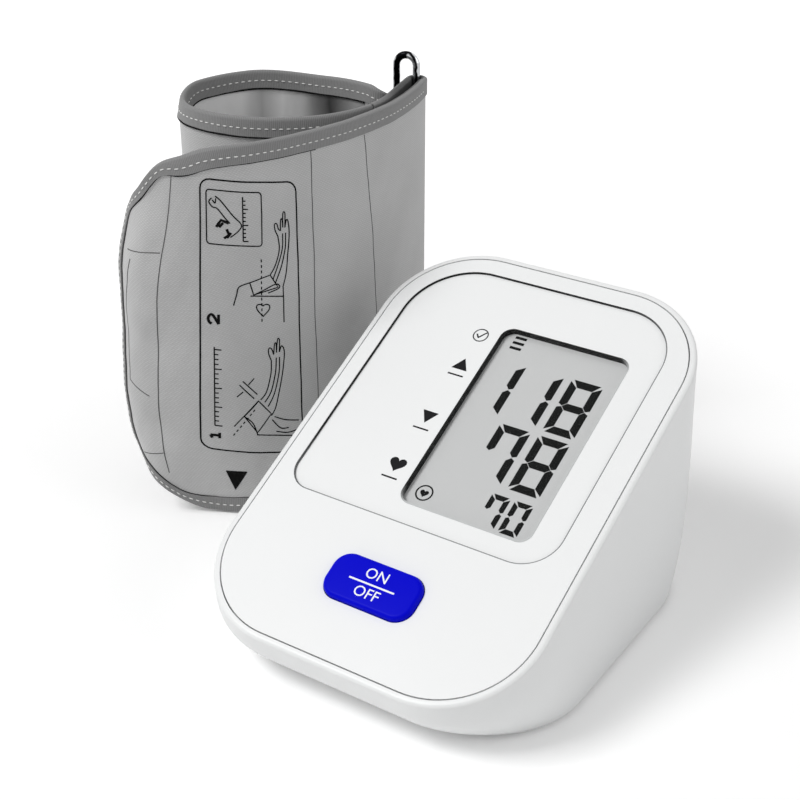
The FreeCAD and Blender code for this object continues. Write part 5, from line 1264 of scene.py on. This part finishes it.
def stitchTree():
    # Threads laid end to end: a bead at each step of the line, drawn out along it.
    tree = bpy.data.node_groups.new("stitchRow", "GeometryNodeTree")
    tree.interface.new_socket(name="Geometry", in_out="INPUT", socket_type="NodeSocketGeometry")
    for name, size in stitches.items():
        socket = tree.interface.new_socket(name=name, in_out="INPUT", socket_type="NodeSocketFloat")
        socket.default_value = size * mm
    tree.interface.new_socket(name="Finish", in_out="INPUT", socket_type="NodeSocketMaterial")
    tree.interface.new_socket(name="Geometry", in_out="OUTPUT", socket_type="NodeSocketGeometry")
    given = addNode(tree, "NodeGroupInput").outputs
    curve = addNode(tree, "GeometryNodeMeshToCurve", {"Mesh": given["Geometry"]})
    row = addNode(tree, "GeometryNodeResampleCurve", {
        "Curve": curve.outputs["Curve"], "Length": given["Pitch"]}, mode="LENGTH")
    bead = addNode(tree, "GeometryNodeMeshUVSphere", {"Segments": 8, "Rings": 5, "Radius": 0.5})
    size = addNode(tree, "ShaderNodeCombineXYZ", {
        "X": given["Stitch Length"], "Y": given["Thread"], "Z": given["Thread"]})
    tangent = addNode(tree, "GeometryNodeInputTangent").outputs["Tangent"]
    along = addNode(tree, "FunctionNodeAlignRotationToVector", {"Vector": tangent}, axis="X")
    outward = addNode(tree, "GeometryNodeInputNamedAttribute", {"Name": "outward"}, data_type="FLOAT_VECTOR")
    facing = addNode(tree, "FunctionNodeAlignRotationToVector", {
        "Rotation": along.outputs["Rotation"], "Vector": outward.outputs["Attribute"]},
                     axis="Z", pivot_axis="X")
    placed = addNode(tree, "GeometryNodeInstanceOnPoints", {
        "Points": row.outputs["Curve"], "Instance": bead.outputs["Mesh"],
        "Rotation": facing.outputs["Rotation"], "Scale": size.outputs["Vector"]})
    solid = addNode(tree, "GeometryNodeRealizeInstances", {"Geometry": placed.outputs["Instances"]})
    final = addNode(tree, "GeometryNodeSetMaterial", {
        "Geometry": solid.outputs["Geometry"], "Material": given["Finish"]})
    addNode(tree, "NodeGroupOutput", {"Geometry": final.outputs["Geometry"]})
    return tree


stitchNodes = stitchTree()


def stitchRow(name, spots, outward, body):
    mesh = bpy.data.meshes.new(name)
    mesh.from_pydata([tuple(p) for p in spots], [(i, i + 1) for i in range(len(spots) - 1)], [])
    layer = mesh.attributes.new("outward", "FLOAT_VECTOR", "POINT")
    layer.data.foreach_set("vector", np.asarray(outward, np.float32).ravel())
    row = newObject(name, mesh)
    lay = row.modifiers.new("stitches", "NODES")
    lay.node_group = stitchNodes
    given = {**{label: size * mm for label, size in stitches.items()}, "Finish": threadFinish}
    for item in stitchNodes.interface.items_tree:
        if item.name in given:
            lay[item.identifier] = given[item.name]
    laid = evaluatedMesh(row)
    laid.name = name
    laid.shade_smooth()
    return addPiece(name, laid, threadFinish, body)


def outwardOn(path, along, side):
    way = headingOn(path, along)
    return np.stack([-np.sin(way), np.cos(way), np.zeros_like(way)], -1) * side


tapeOver = cuff["tapeGap"] + cuff["tapeWall"]
along = np.linspace(neckLength - 6, sleeveEnd - 1, 200)
for edge, up in (("Top", sleeveTop(along) - rowDepth), ("Bottom", rowDepth)):
    for side, word in ((-1, "Outer"), (1, "Inner")):
        out = side * ((thick + tapeOver) * hemSqueeze(rowDepth) + 0.05)
        stitchRow(f"sleeveStitches{edge}{word}", onPath(sleevePath, along, up, out),
                  outwardOn(sleevePath, along, side), "cuff")

along, up = flapOutline(rowDepth)[4:-4].T
for side, word in ((1, "Outer"), (-1, "Inner")):
    out = side * (cuff["strapHalf"] + tapeOver + 0.05)
    bendPieces.append(stitchRow("flapStitches" + word, onFlap(along, up, out),
                                outwardOn(strapPath, along, side), None))
print("stitches: laid")


# The hook patch inside the tip
hook = {"low": 30.0, "high": 90.0, "start": 3.2, "length": 27.4, "thick": 0.7, "lap": 0.02,
        "columns": 24, "rows": 40}


def hookPatch():
    start, inside = hinge + hook["start"], -cuff["strapHalf"]
    stations = np.linspace(start, start + hook["length"], hook["columns"])
    up = np.linspace(hook["low"], hook["high"], hook["rows"])
    rings = np.array([np.concatenate([onFlap(u, up, inside - hook["thick"]),
                                      onFlap(u, up[::-1], inside + hook["lap"])]) for u in stations])
    mesh = sweptMesh("hookPatch", rings, stations[:, None], np.concatenate([up, up[::-1]]))
    piece = addPiece("hookPatch", mesh, finishes["hook_tape"], None)
    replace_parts(piece, "hook_patch")
    return piece


bendPieces.append(hookPatch())
for piece in bendPieces:
    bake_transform(piece, "cuff", "flap", start=bendZone[0], end=bendZone[1])
print("flap: bends at its hinge")


# Room: camera, floor, light

view = {"spot": (0.18064, -0.30124, 0.25488), "down": 28.41, "turn": 33.62, "lens": 67.06, "sensor": 36.0,
        "nearest": 0.01}
camera = bpy.data.cameras.new("camera")
camera.lens = view["lens"]
camera.sensor_width = view["sensor"]
camera.clip_start = view["nearest"]
cameraObject = newObject("camera", camera)
cameraObject.location = view["spot"]
cameraObject.rotation_euler = (math.radians(90 - view["down"]), 0, math.radians(view["turn"]))
bpy.context.scene.camera = cameraObject

# The key lamp stands at the front left, the fill at the right; both face the aim.
light = {"aim": (0, 0, 0.03), "world": 0.4,
         "keyLamp": {"spot": (-1.0, -1.1, 1.9), "power": 33.0, "size": 0.9},
         "fillLamp": {"spot": (1.55, 0.45, 0.9), "power": 5.2, "size": 1.2}}

for name in ("keyLamp", "fillLamp"):
    data = bpy.data.lights.new(name, "AREA")
    data.energy, data.size = light[name]["power"], light[name]["size"]
    lamp = newObject(name, data)
    lamp.location = light[name]["spot"]
    lamp.rotation_euler = (Vector(light["aim"]) - lamp.location).to_track_quat("-Z", "Y").to_euler()


def paleWorld():
    # White where the camera sees it, itself or mirrored, and dimmer as a light on the surfaces.
    world = bpy.data.worlds.new("paleRoom")
    bpy.context.scene.world = world
    world.use_nodes = True
    tree = world.node_tree
    background = tree.nodes["Background"]
    seen = addNode(tree, "ShaderNodeLightPath").outputs
    direct = addNode(tree, "ShaderNodeMath", {
        0: seen["Is Camera Ray"], 1: seen["Is Glossy Ray"]}, operation="MAXIMUM")
    through = addNode(tree, "ShaderNodeMath", {
        0: direct.outputs["Value"], 1: seen["Is Transmission Ray"]}, operation="MAXIMUM")
    strength = addNode(tree, "ShaderNodeMapRange", {
        "Value": through.outputs["Value"], "To Min": light["world"], "To Max": 1.0})
    background.inputs["Color"].default_value = (1, 1, 1, 1)
    tree.links.new(strength.outputs["Result"], background.inputs["Strength"])


ground = {"half": 4.0, "glowStart": 0.1, "glowEnd": 0.6, "near": 0.13, "far": 0.42}


def paleFloor():
    mesh = bpy.data.meshes.new("floor")
    corners = [(x * ground["half"], y * ground["half"], 0) for x, y in ((-1, -1), (1, -1), (1, 1), (-1, 1))]
    mesh.from_pydata(corners, [], [(0, 1, 2, 3)])
    finish, tree, shader = newFinish("paleFloor", Roughness=0.9, Emission_Color=(1, 1, 1, 1))
    place = addNode(tree, "ShaderNodeTexCoord").outputs["Object"]
    cloud = addNode(tree, "ShaderNodeTexNoise", {"Vector": place, "Scale": 3})
    # Seen by the camera it glows a little, more so away from the object, so that it ends in white.
    seen = addNode(tree, "ShaderNodeLightPath").outputs["Is Camera Ray"]
    away = addNode(tree, "ShaderNodeVectorMath", {0: place}, operation="LENGTH").outputs["Value"]
    rise = addNode(tree, "ShaderNodeMapRange", {
        "Value": away, "From Min": ground["glowStart"], "From Max": ground["glowEnd"],
        "To Min": ground["near"], "To Max": ground["far"]})
    glow = addNode(tree, "ShaderNodeMath", {0: seen, 1: rise.outputs["Result"]}, operation="MULTIPLY")
    drive(tree, shader, Emission_Strength=glow.outputs["Value"], Base_Color=twoTone(
        tree, cloud.outputs["Fac"], linearColor("#F9F9F9"), linearColor("#FBFBFB")))
    mesh.materials.append(finish)
    newObject("floor", mesh)


paleWorld()
paleFloor()
bpy.context.scene.view_settings.view_transform = "Standard"
print("room: camera, floor and lamps")
